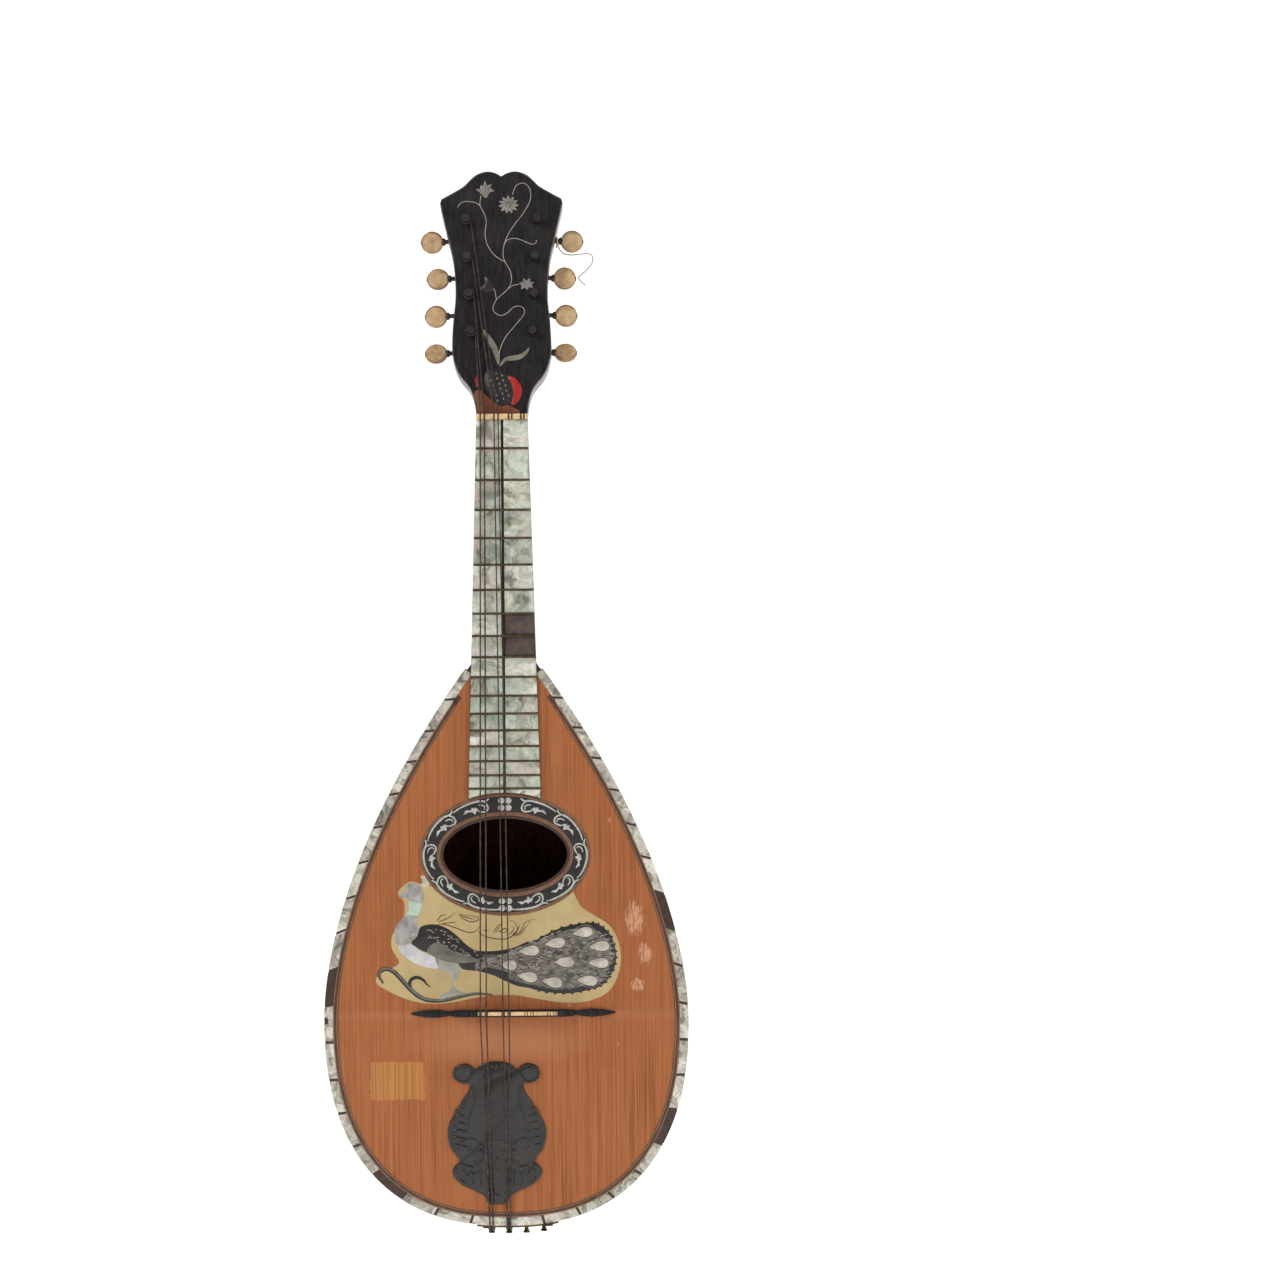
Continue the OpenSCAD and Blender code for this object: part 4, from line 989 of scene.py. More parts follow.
def button_pieces(looks):
    """Bone buttons: a shallow lens with a soft rim, a collar on the shaft side and a dark worn tip."""
    for side, sign in (("bass", -1), ("treble", 1)):
        for i in range(1, 5):
            body = f"shaft_{side}_{i}"
            low, high = box_mm(f"button_{side}_{i}")
            axis = Vector(joints[f"shaft_{side}_{i}_turn"]["axis"]).normalized()
            origin = Vector(joints[f"shaft_{side}_{i}_turn"]["pos_m"]) / MM
            mid = (low + high) / 2
            centre = origin + axis * (mid - origin).dot(axis)
            angle = BUTTON_TURNS[side][i - 1]
            out = axis if axis.x * sign > 0 else -axis
            into = Vector((0, math.cos(TILT), -math.sin(TILT)))
            face = (Matrix.Rotation(math.radians(sign * angle), 3, out) @ into).normalized()
            across = out.cross(face)
            frame_m = Matrix((out, across, face)).transposed().to_4x4()
            frame_m.translation = centre
            disc = Shape()
            half = [(0.02, 1.30), (2.0, 1.38), (4.0, 1.55), (5.2, 1.66), (5.75, 1.55), (6.15, 1.15),
                    (6.37, 0.55)]
            profile = half + [(6.37, -0.55)] + [(a, -b) for a, b in reversed(half[:-1])]
            disc.lathe(profile, frame_m, 56, tones=[min(max((p[0] - 5.1) / 1.1, 0), 1) for p in profile])
            disc.make(f"button_{side}_{i}_bone", looks["button"], body, "bone", [f"button_{side}_{i}"])
            collar = Shape()
            turn = Matrix((face, across, -out)).transposed().to_4x4()
            turn.translation = centre - out * 5.6
            collar.lathe([(1.35, 2.1), (1.9, 1.8), (2.15, 1.1), (2.1, 0.2), (1.7, -0.5),
                          (1.35, -0.8)][::-1], turn, 24)
            collar.make(f"button_{side}_{i}_collar", looks["steel"], body, "dark_steel")


# ---- Rosette --------------------------------------------------------------------------------------

def ellipse_at(a, t):
    """A point on the rosette at angle a, t from 0 at the hole's edge to 1 at the outer edge."""
    return (lerp(HOLE[0], ROSETTE[0], t) * math.sin(a), HOLE_Z + lerp(HOLE[1], ROSETTE[1], t) * math.cos(a))


RING_MID = 0.57
RING_STEPS = 720


def ring_run():
    """The length along the middle of the black band from its top to each of its steps."""
    run = [0.0]
    for step in range(1, RING_STEPS + 1):
        a0, a1 = math.pi * (step - 1) / RING_STEPS, math.pi * step / RING_STEPS
        run.append(run[-1] + math.dist(ellipse_at(a0, RING_MID), ellipse_at(a1, RING_MID)))
    return run


RING_RUN = ring_run()


def on_ring(side, lift):
    """Places (s, v, h): s along the black band clockwise from its top, v outward from its middle."""
    def place(s, v, h):
        k = next((i for i, run in enumerate(RING_RUN) if run >= s), RING_STEPS)
        a = math.pi * k / RING_STEPS
        x, z = ellipse_at(a, RING_MID)
        b = ellipse_at(a + 0.01, RING_MID)
        d = math.hypot(b[0] - x, b[1] - z)
        nx, nz = -(b[1] - z) / d, (b[0] - x) / d
        return on_top(side * (x + nx * v), z + nz * v, h + lift)
    return place


def rosette_pieces(looks):
    """A black band with scrolls and four-lobed joins, between fine rims."""
    for name, t0, t1, height, look in (
            ("rosette_rim", 0.0, 0.13, 0.10, "mastic"), ("rosette_inner", 0.12, 0.27, 0.20, "filler"),
            ("rosette_band", 0.26, 0.885, 0.12, "shell_black"),
            ("rosette_outer", 0.88, 0.998, 0.20, "filler")):
        ring = Shape()
        rings = []
        for k in range(145):
            a = 2 * math.pi * k / 144
            rings.append([on_top(*ellipse_at(a, t), h) for t, h in (
                (t0, -0.85), (t0, height - 0.06), (lerp(t0, t1, 0.15), height), (lerp(t0, t1, 0.85), height),
                (t1, height - 0.06), (t1, -0.85))])
        ring.loft(rings, caps=False)
        replaced = ["rosette"] if name == "rosette_band" else ()
        ring.make(name, looks[look], slot="black_mastic", replaces=replaced)
    lines = Shape()
    for t in (0.15, 0.225, 0.905, 0.975):
        loop = [ellipse_at(2 * math.pi * k / 180, t) for k in range(181)]
        lines.ribbon(loop, 0.26, on_top, 0.24, sink=0.1)
    lines.make("rosette_lines", looks["line_wood"], slot="inner_wood")
    scrolls = Shape()
    for side in (-1, 1):
        for k in range(5):
            place = on_ring(side, 0.12)
            start = 8.3 + 20.2 * k
            move = lambda pts: [(start + u, v) for u, v in pts]
            taper = lambda w: swell(0.25, w, 0.85, 0.12, 0.8)
            scrolls.ribbon(smooth(move([(0, 3.8), (2.3, 2.7), (6, 3.4), (12, 3.4), (18, 2.9), (20.4, 2.3)]),
                                  5),
                           taper(0.85), place, 0.09)
            scrolls.ribbon(smooth(move([(3, 2.5), (1.5, 0.3), (1.5, -2), (3.3, -3.2), (6.2, -2.5),
                                        (7.8, -1.2)]), 5),
                           taper(0.75), place, 0.10)
            scrolls.ribbon(smooth(move([(6.3, 1.2), (4.0, 0.6), (2.9, -0.9), (3.6, -2)]), 5), taper(0.5),
                           place, 0.09)
            leaf = [(7, -1), (8.4, 0.4), (9.2, -0.1), (10, 1.0), (11.2, -0.3), (13.7, 0.6), (16.2, -1.2),
                    (12.6, -0.9), (10.4, -1.8), (9.4, -3.4), (8.3, -1.9)]
            scrolls.plate(move(leaf), place, 0.11, bevel=0.08)
    for a in (0, math.pi):
        cx, cz = ellipse_at(a, RING_MID)
        for sx in (-1, 1):
            for sz in (-1, 1):
                lobe = [(cx + sx * (2.0 + 1.75 * math.cos(t)), cz + sz * (2.0 + 1.75 * math.sin(t)))
                        for t in (2 * math.pi * i / 16 for i in range(16))]
                scrolls.plate(lobe, above(0.12), 0.11, bevel=0.12)
    scrolls.make("rosette_scrolls", looks["silver"], slot="pearl")


# ---- The bird on the guard ------------------------------------------------------------------------

def drop_shape(cx, cz, length, width, angle):
    """The outline of a drop round cx, cz."""
    out = []
    for k in range(20):
        t = 2 * math.pi * k / 20
        u, v = -length / 2 * math.cos(t), width * 0.62 * math.sin(t) * math.sin(t / 2) ** 1.1
        out.append((cx + u * math.cos(angle) - v * math.sin(angle),
                    cz + u * math.sin(angle) + v * math.cos(angle)))
    return out


def bird_pieces(looks):
    """The pearl bird with its fan of feathers, its branch, and the engraving above it."""
    back = [(-53, -295.8), (-50, -291.5), (-48.6, -288.2), (-46.8, -286.3), (-41.5, -285.4), (-36.9, -286.1),
            (-32.2, -288.2), (-27.1, -292.2), (-22.9, -296.3), (-17.8, -299.9), (-12.6, -300.7),
            (-5.3, -300.5), (0.9, -299.6), (6.1, -298.2), (11.3, -295.8)]
    fan = [(16, -294.8), (25.9, -289.6), (35.2, -286.5), (43.5, -285.1), (49.8, -284.9), (54.9, -287.5),
           (59.1, -292.2), (61.6, -299.4), (62.1, -305.6), (60.5, -311.9), (56.8, -318.1), (51.6, -321.7),
           (45.3, -323.3), (37, -324.8), (28.7, -324.8), (20.4, -323.8), (13.2, -321.7)]
    under = [(5.9, -320.2), (-0.3, -317.6), (-7.5, -314.2), (-15.8, -311.9), (-24.1, -310.8), (-27.2, -307.7),
             (-34, -306), (-43.7, -301.5), (-48.7, -299.4)]
    outline = []
    for k, (x, z) in enumerate(smooth(back + fan + under, 7, closed=True)):
        if x > 17:
            grow = 1 + 0.035 * (1 if k % 4 == 0 else -0.35)
            x, z = 38 + (x - 38) * grow, -305 + (z + 305) * grow
        outline.append((x, z))
    flat_piece("bird_tail", looks["shell_black"], "black_shell", outline, on_top, 0.06, 0.1)
    within = [(20 + (x - 20) * 0.93, -305.5 + (z + 305.5) * (0.86 if x > 0 else 0.6))
              for x, z in outline if x > -16]
    flat_piece("bird_vane", looks["tail_shell"], "black_shell", within, above(0.05), 0.03, 0.05)

    feathers = Shape()
    eyes = [(43.0, -290.6), (27.4, -296.5), (52.3, -298.4), (12.8, -300.7), (1.4, -308.6), (32.5, -307.2),
            (51.7, -307.7), (11.7, -315.2), (25.7, -318.3), (45.4, -317.6)]
    root = (-22, -305)
    drops = Shape()
    for x, z in eyes:
        angle = 0.55 * math.atan2(z - root[1], x - root[0])
        long = 11.5 if x > 10 else 9.0
        drops.tone = rng.random()
        drops.plate(smooth(drop_shape(x, z, long, 6.0, angle), 2, closed=True), above(0.06), 0.10, bevel=0.15)
        loop = drop_shape(x - 0.6, z, long + 2.8, 8.2, angle)
        feathers.ribbon(smooth(loop + loop[:1], 2), 0.24, above(0.06), 0.05)
    for _ in range(FEATHERS):
        u = rng.random()
        x = lerp(-18, 59, u ** 0.8)
        taper = 1 if x < 48 else math.sqrt(max(1 - ((x - 48) / 13.5) ** 2, 0.02))
        half = lerp(2.6, 17, min(max((x + 8) / 40, 0), 1)) * taper
        mid = -304.6 if x > 18 else lerp(-307.8, -304.6, (x + 18) / 36)
        z = mid + (2 * rng.random() - 1) * half * 0.93
        if any(math.hypot((x - ex) / 1.25, z - ez) < 4.3 for ex, ez in eyes):
            continue
        angle = 0.5 * math.atan2(z - root[1], x - root[0]) + rng.uniform(-0.5, 0.5)
        length = rng.uniform(1.4, 3.6)
        bend = rng.uniform(-0.4, 0.4)
        pts = [(x + t * length * math.cos(angle),
                z + t * length * math.sin(angle) + bend * math.sin(math.pi * t))
               for t in (0, 0.33, 0.67, 1)]
        feathers.ribbon(pts, swell(0.14, 0.50, start=0.1), above(0.06), 0.05)
    for _ in range(SPECKS):
        x = rng.uniform(-46, -16)
        top = -287 if x < -36 else lerp(-287.5, -299.5, min((x + 36) / 18, 1))
        low = lerp(-292, -303.5, min((x + 46) / 24, 1))
        z = rng.uniform(low, top - 0.8)
        feathers.ribbon([(x, z), (x + 0.7, z - 0.35), (x + 1.4, z - 0.4)], swell(0.2, 0.5), above(0.06), 0.05)
    feathers.make("bird_feathers", looks["feather"], slot="pearl")
    drops.make("bird_eyes", looks["pearl_warm"], slot="pearl")

    parts = {
        "crest": ([(-47.6, -258.6), (-46, -257.9), (-44, -258.6), (-43.4, -260.5), (-42.6, -262.1),
                   (-43, -263.9), (-45.5, -264.4), (-47.1, -263.1), (-46.5, -261)], "pearl_warm"),
        "head": ([(-53.9, -271.9), (-56.2, -269.9), (-58.9, -270.8), (-59.9, -268.8), (-57.8, -267.1),
                  (-55.9, -266.2), (-55.7, -263.9), (-53.6, -262.5), (-50.5, -262.3), (-48.1, -263.6),
                  (-46.6, -266.2), (-46.1, -269.3), (-46.8, -273.7), (-50.4, -272.9)], "pearl_grey"),
        "neck": ([(-53.9, -272.1), (-50.4, -273.1), (-46.9, -273.9), (-47.7, -276.1), (-49, -280.7),
                  (-52.3, -280.2), (-55.5, -280.2), (-54.4, -276.8)], "pearl_green"),
        "breast": ([(-55.5, -280.4), (-52.3, -280.5), (-49.1, -280.9), (-49.8, -283.9), (-48.8, -288),
                    (-49.8, -292.2), (-53.3, -295.1), (-57.2, -297), (-60.5, -296.7), (-62.3, -293.2),
                    (-62.1, -288), (-59.2, -283.3)], "pearl_grey"),
        "belly": ([(-60.5, -297), (-57.2, -297.3), (-53, -296.5), (-47.9, -300.1), (-43.7, -302.2),
                   (-39.6, -303.3), (-38.1, -309.8), (-42.8, -310), (-49, -308.2), (-55.2, -304.6),
                   (-58.8, -301)], "pearl_white"),
        "legs": ([(-39.6, -303.1), (-34.4, -306.2), (-27.2, -307.2), (-25.6, -311.9), (-27.2, -316),
                  (-29.5, -318.1), (-29.1, -320.7), (-26.2, -322.8), (-22.1, -324.3), (-30.4, -325.9),
                  (-36.7, -327.6), (-37.2, -325.2), (-33.5, -323.8), (-30.9, -321.2), (-30.6, -317.6),
                  (-30.8, -314.3), (-33.4, -312.2), (-36.7, -311.9), (-38.1, -309.3)], "pearl_dull"),
        "wing": ([(-44.2, -300.5), (-42.1, -297.1), (-39, -295.8), (-34.9, -296.8), (-30.7, -299.9),
                  (-26.1, -301.5), (-19.9, -303.6), (-13.7, -306.2), (-17.8, -306.9), (-27.2, -307.2),
                  (-34.4, -306.2), (-40.6, -303.6)], "wing_shell")}
    for name, (points, look) in parts.items():
        flat_piece(f"bird_{name}", looks[look], "pearl", smooth(points, 4, closed=True),
                   above(0.05 if name == "wing" else 0.0), 0.11, 0.13)
    eye = Shape()
    pupil = [(-52.3 + 0.5 * math.cos(0.4 * k), -266.2 + 0.5 * math.sin(0.4 * k)) for k in range(16)]
    eye.plate(pupil, above(0.1), 0.06, bevel=0.05)
    foot = [(-37.4, -312.6), (-38.5, -314.5), (-37.2, -316.8), (-34.8, -316.6), (-34.2, -314.8)]
    eye.ribbon(smooth(foot, 4), 0.7, on_top, 0.08)
    eye.make("bird_eye", looks["pearl_dull"], slot="pearl")

    branch, edge = Shape(), Shape()
    stem = smooth([(-68.8, -318.3), (-70.6, -315.5), (-71.2, -312.9), (-69.9, -310.9), (-66.6, -310.4),
                   (-63, -311.9), (-58.9, -316), (-54.3, -321.2), (-49.1, -325.7), (-42.9, -328.1),
                   (-34.6, -328), (-24.2, -325.7), (-15.9, -324.4), (-7.6, -325.3)], 5)
    curl = smooth([(-53.4, -321.9), (-54.1, -318.1), (-52.5, -315.8), (-49.5, -315.2), (-46.4, -316.7),
                   (-44.4, -319.1), (-42.3, -320.9)], 5)
    wide = swell(0.35, 2.2, 0.93, 0.05, 0.55)
    edge.ribbon(stem, wide, on_top, 0.05)
    edge.ribbon(curl, swell(0.3, 1.7, 0.75, 0.25), on_top, 0.05)
    edge.make("branch_shade", looks["shell_black"], slot="black_shell")
    branch.ribbon([(x + 0.15, z + 0.3) for x, z in stem], lambda t: 0.5 * wide(t), above(0.05), 0.05)
    branch.make("branch", looks["wing_shell"], slot="pearl")

    vine = Shape()
    for points in (
            [(-38.9, -285.9), (-35.3, -285.4), (-28.1, -287.5), (-21.9, -289.9), (-17.2, -289.6),
             (-14, -285.9), (-14.5, -283.9)],
            [(-26.1, -279.7), (-23.9, -282.3), (-19.7, -284.1), (-15.6, -283.3), (-16.6, -281.3),
             (-21.8, -280.7), (-26.1, -279.7)],
            [(-25.2, -280.4), (-20.5, -282.2), (-16.8, -282.6)],
            [(-38.4, -283.7), (-36.3, -280.7), (-33.2, -279.9)],
            [(-37.6, -284.1), (-35.3, -283.3), (-31.1, -281.3), (-28.5, -278.9)],
            [(-35.3, -285.0), (-30.5, -284.6), (-27.6, -284.2)],
            [(-15.6, -289.6), (-12.5, -292), (-6.3, -293.7), (0.9, -293.7), (5.6, -290.6), (6.4, -287.5),
             (4.6, -284.4), (2.1, -283.3)],
            [(2.5, -292.7), (7.2, -290.6), (9.3, -288), (11.4, -284.4), (16.6, -283)],
            [(5.1, -292.2), (8.2, -291.1), (10.8, -288), (13.7, -284.1)],
            [(-6.8, -289.9), (-4.7, -287), (-2.6, -285.9), (-2.1, -288.5), (-0.1, -288), (0.5, -290.1),
             (-3.4, -290), (-6.8, -289.9)],
            [(-5.2, -289.5), (-3.2, -287)], [(-3.6, -289.7), (-1.4, -288.8)],
            [(-12.4, -289.0), (-9.8, -289.3)],
            [(1.6, -291.6), (4.2, -289.2), (4.4, -286.4)], [(3.6, -291.8), (6.6, -288.9), (7.9, -286.2)]):
        vine.ribbon(smooth(points, 4), swell(0.24, 0.34, start=0.12), on_top, 0.03)
    vine.make("guard_engraving", looks["engraving"], slot="black_shell")


# ---- Head inlays ----------------------------------------------------------------------------------

def head_pieces(looks):
    """The vine with its flowers and leaves, the berry at its foot, and a painted highlight along the edge."""
    stems = Shape()
    for points in (
            [(-2, 28.7), (-1, 37.1), (2.1, 44.3), (7.1, 50.6), (12.1, 56.8), (12.8, 59.9), (11.1, 62),
             (7.1, 62), (3.1, 58.4), (-0.5, 57), (-4, 58.9), (-4.8, 62), (-2.5, 66.7), (3.6, 72.4),
             (5.6, 77.6), (4.9, 82.8), (2.1, 88), (0.9, 92.2), (1.6, 98.4), (4.1, 104.7), (8.1, 110.9),
             (12.1, 116.1), (16.1, 123.4), (16.4, 129.6), (14.1, 133.3), (11.1, 134), (8.1, 132.2),
             (6.3, 127.4)],
            [(2.1, 88), (-4, 92.2), (-8, 98.4), (-9.2, 104.7), (-8.5, 112), (-10, 117.2), (-12, 121.3),
             (-11.5, 127.0)],
            [(-11.0, 119.0), (-12.4, 121.4), (-15, 123), (-20.1, 123.6), (-23.1, 122.4), (-24.6, 120.3)],
            [(1.3, 97.6), (2.6, 100.2), (5.1, 101.6), (9.1, 101.6), (13.1, 100), (17.1, 98.4), (19.4, 99.2),
             (19.7, 100.8)],
            [(3.6, 72.4), (6.4, 74.4), (9.6, 75.0)], [(-2.9, 66), (-3.6, 70.5), (-4.4, 72.6)]):
        stems.ribbon(smooth(points, 6), 0.38, on_head, 0.06)
    stems.make("vine_stem", looks["vine"], slot="pearl")
    flowers, shade = Shape(), Shape()
    on_flower = raised(on_head, 0.09)
    cx, cs = 4.1, 121.6
    star = []
    for k in range(44):
        t = 2 * math.pi * k / 44
        r = 7.1 - 3.1 * abs(math.sin(5.5 * t + 0.3)) ** 0.8
        star.append((cx + r * math.sin(t) * 0.98, cs + r * math.cos(t) * 0.9))
    flowers.plate(star, on_head, 0.10, bevel=0.15)
    for k in range(11):
        t = 2 * math.pi * (k + 0.5) / 11 + 0.05
        shade.ribbon([(cx + r * math.sin(t), cs + 0.9 * r * math.cos(t)) for r in (1.0, 2.5, 4.2)], 0.28,
                     on_flower, 0.05)
    shade.ribbon(smooth([(cx - 1, cs), (cx, cs + 1.1), (cx + 1.2, cs), (cx + 0.3, cs - 0.9)], 4), 0.3,
                 on_flower, 0.05)
    tulip = [(0, -5.5), (-3, -2.2), (-5.4, -0.3), (-3, -0.3), (-2.4, 2.2), (-1.1, 1.1), (-0.1, 4.8),
             (1.1, 1.7), (3.8, 3), (3, 0.6), (5.4, -1.5), (2.4, -2.2), (1.1, -5)]
    flowers.plate([(-9.1 + x, 131.0 + s) for x, s in tulip], on_head, 0.10, bevel=0.12)
    for a, b in (((-0.6, -4), (-3.4, 0)), ((0, -4), (0, 3)), ((0.7, -4), (3, 1.6))):
        shade.ribbon([(-9.1 + a[0], 131 + a[1]), (-9.1 + (a[0] + b[0]) / 2, 131 + (a[1] + b[1]) / 2),
                      (-9.1 + b[0], 131 + b[1])], 0.3, on_flower, 0.05)
    bud = [(-4.4, 0.2), (-2.6, -1.2), (-3.2, -3.4), (-1, -2.4), (0.6, -3.8), (1.4, -2), (3.8, -2.6),
           (2.9, -0.6), (4.3, 0.9), (2.1, 1), (1.9, 3.3), (0.1, 1.7), (-1.7, 3.5), (-1.9, 1.2)]
    flowers.plate([(14 + x, 75.4 + s) for x, s in bud], on_head, 0.10, bevel=0.12)
    flowers.make("vine_flowers", looks["flower"], slot="pearl")
    shade.make("flower_lines", looks["engraving"], slot="black_shell")
    leaves = Shape()
    leaf_w = lambda w: swell(0.15, w, 0.97, 0.02, 0.8)
    leaves.ribbon(smooth([(-1.8, 28.5), (-3.0, 35), (-6.2, 42), (-10.5, 49)], 6), leaf_w(3.3), on_head, 0.08)
    leaves.ribbon(smooth([(-1.1, 27.6), (2, 31.4), (5.9, 32.2), (10, 32.9), (13.5, 35.4), (15.4, 38.2)], 6),
                  leaf_w(2.7), on_head, 0.08)
    leaves.make("vine_leaves", looks["leaf"], slot="pearl")
    faint = [(-9.6, 79.7), (-6.8, 78.0), (-4.4, 73.5), (-5.4, 71.4), (-8.8, 70.4), (-12, 72.6), (-9.4, 75.2)]
    flat_piece("faint_leaf", looks["shell_carved"], "black_mastic", faint, on_head, 0.05, 0.05)
    red = Shape()
    red.plate(smooth([(2.7, 22), (7, 20.9), (10.2, 17), (11.3, 12.6), (9.7, 8.1), (7, 5.3), (5.2, 5.6),
                      (6.4, 9.8), (5.9, 15.4), (3.9, 19.8)], 4, closed=True), on_head, 0.09)
    red.plate([(-15.2, 20.2), (-13.5, 23.5), (-12.9, 15.4), (-14.5, 15.9)], on_head, 0.08)
    red.make("red_petal", looks["red"], slot="dark_inlay")
    bare = [(-15.6, 10.5), (-15.4, 13.2), (-12.4, 14.3), (-9.1, 10.9), (-4.8, 7), (-0.5, 4.2), (3.8, 5.0),
            (10.2, 1.6), (9.7, 0.5), (-13.8, 0.5), (-14.3, 5.9)]
    flat_piece("bare_patch", looks["bare"], "dark_inlay", bare, on_head, 0.07)
    berry = smooth([(-8.1, 24.8), (-3.2, 25.6), (2.2, 23), (5.7, 17), (6.6, 9.8), (3.8, 5.5), (-0.5, 4.8),
                    (-5.9, 9.2), (-9.1, 14.8), (-10, 20.4)], 4, closed=True)
    flat_piece("berry", looks["shell_black"], "black_shell", berry, on_head, 0.16, 0.3)
    pips = Shape()
    for row in range(6):
        for col in range(4):
            x = -6.6 + 3.4 * col + 0.9 * row - 0.4 * (row % 2)
            s = 22.2 - 2.9 * row + 1.1 * col - 2.2 * (col > 1)
            if ((x + 1.6) / 7.0) ** 2 + ((s - 15.2) / 9.2) ** 2 < 1:
                drop = [(x + 0.42 * math.sin(t), s + 0.62 * math.cos(t))
                        for t in (math.pi * i / 5 for i in range(10))]
                pips.plate(drop, raised(on_head, 0.16), 0.12, bevel=0.2)
    pips.make("berry_pips", looks["flower"], slot="pearl")
    # a pale strip just inside each edge of the head: a painted highlight standing in for its lit side facets
    edge_highlight = Shape()
    sides = [(14.4, 0.6), (15.5, 8), (18, 15), (23.4, 22), (26.5, 29), (27.9, 38), (27.3, 53), (25.9, 69),
             (27, 87.5), (29.9, 101.5), (32.7, 113.5), (34.6, 122.5)]
    crest = [(33.8, 125), (27.6, 128.5), (21.1, 132.5), (17.8, 136), (13.8, 139.3), (8.5, 141),
             (3.9, 140.3), (0.2, 138.2)]
    for side in (-1, 1):
        for run in (sides, crest):
            pts = [(side * (x - 0.30), s - (0.3 if run is crest else 0)) for x, s in smooth(run, 6)]
            edge_highlight.ribbon(pts, 0.42, on_head, 0.03, sink=0.25)
    edge_highlight.make("worn_edge", looks["worn"], slot="ebony")


# ---- Bridge, lyre and tail ------------------------------------------------------------------------

def string_x(course, side):
    """Where a string crosses the saddle; side is -1 or 1 within its course."""
    return SADDLE_MID_X + (course - 1.5) * COURSE_PITCH + side * PAIR_HALF


def hook_x(course):
    """Where a hook stands on the tailpiece."""
    return HOOK_MID_X + (course - 1.5) * HOOK_PITCH


def bridge_pieces(looks):
    """A bar with carved blocks beside the saddle and a long lance at each end."""
    cx, top = 3.9, 5.6
    profile = [(0, 2.05, top), (24.4, 2.05, top), (24.9, 1.7, 4.9), (25.4, 2.1, 5.3), (30.4, 2.1, 5.0),
               (31.0, 1.6, 4.3), (31.5, 2.05, 4.6), (33.6, 1.7, 3.6), (35.2, 1.15, 2.5), (36.4, 1.45, 2.4),
               (39, 1.9, 2.55), (44, 2.28, 2.7), (50, 1.9, 2.3), (54, 1.15, 1.7), (56.6, 0.5, 1.2),
               (57.4, 0.15, 0.9)]
    under = [(0, 1.5), (9.6, 1.5), (11.6, 0.05), (22.4, 0.05), (24, 1.0), (37, 1.0), (40, 0.05), (57.4, 0.05)]

    def at(table, x, col):
        for a, b in zip(table, table[1:]):
            if x <= b[0]:
                return lerp(a[col], b[col], (x - a[0]) / max(b[0] - a[0], 1e-6))
        return table[-1][col]

    bar = Shape()
    xs = sorted({round(s * x, 2) for s in (-1, 1) for p in profile + under for x in (p[0],)} |
                {round(-57.4 + 114.8 * i / 70, 2) for i in range(71)})
    rings = []
    for x in xs:
        w, h, low = at(profile, abs(x), 1), at(profile, abs(x), 2), at(under, abs(x), 1)
        ridge = 0.35 if abs(x) > 35 else 0.0
        section = [(-w, low), (-w, h * 0.72), (-0.7 * w, h * 0.95 - ridge), (0, h),
                   (0.7 * w, h * 0.95 - ridge), (w, h * 0.72), (w, low)]
        rings.append([(cx + x, -y - 0.02, SADDLE_Z + z) for z, y in section])
    bar.loft(rings)
    bar.make("bridge_bar", looks["ebony"], "bridge", "ebony", ["bridge_base"])
    marks = Shape()
    cut = ((-0.2, -1.03), (0.2, -1.03), (0.2, 1.03), (-0.2, 1.03))
    for c in range(COURSES):
        for s in (-1, 1):
            x = string_x(c, s)
            for dx in (-0.75, 0.75):
                marks.loft([[(x + dx + a, y, SADDLE_Z + b) for a, b in cut]
                            for y in (saddle_low.y - 0.02, saddle_low.y + 4.2)])
    marks.make("saddle_marks", looks["shell_black"], "bridge", "ebony")


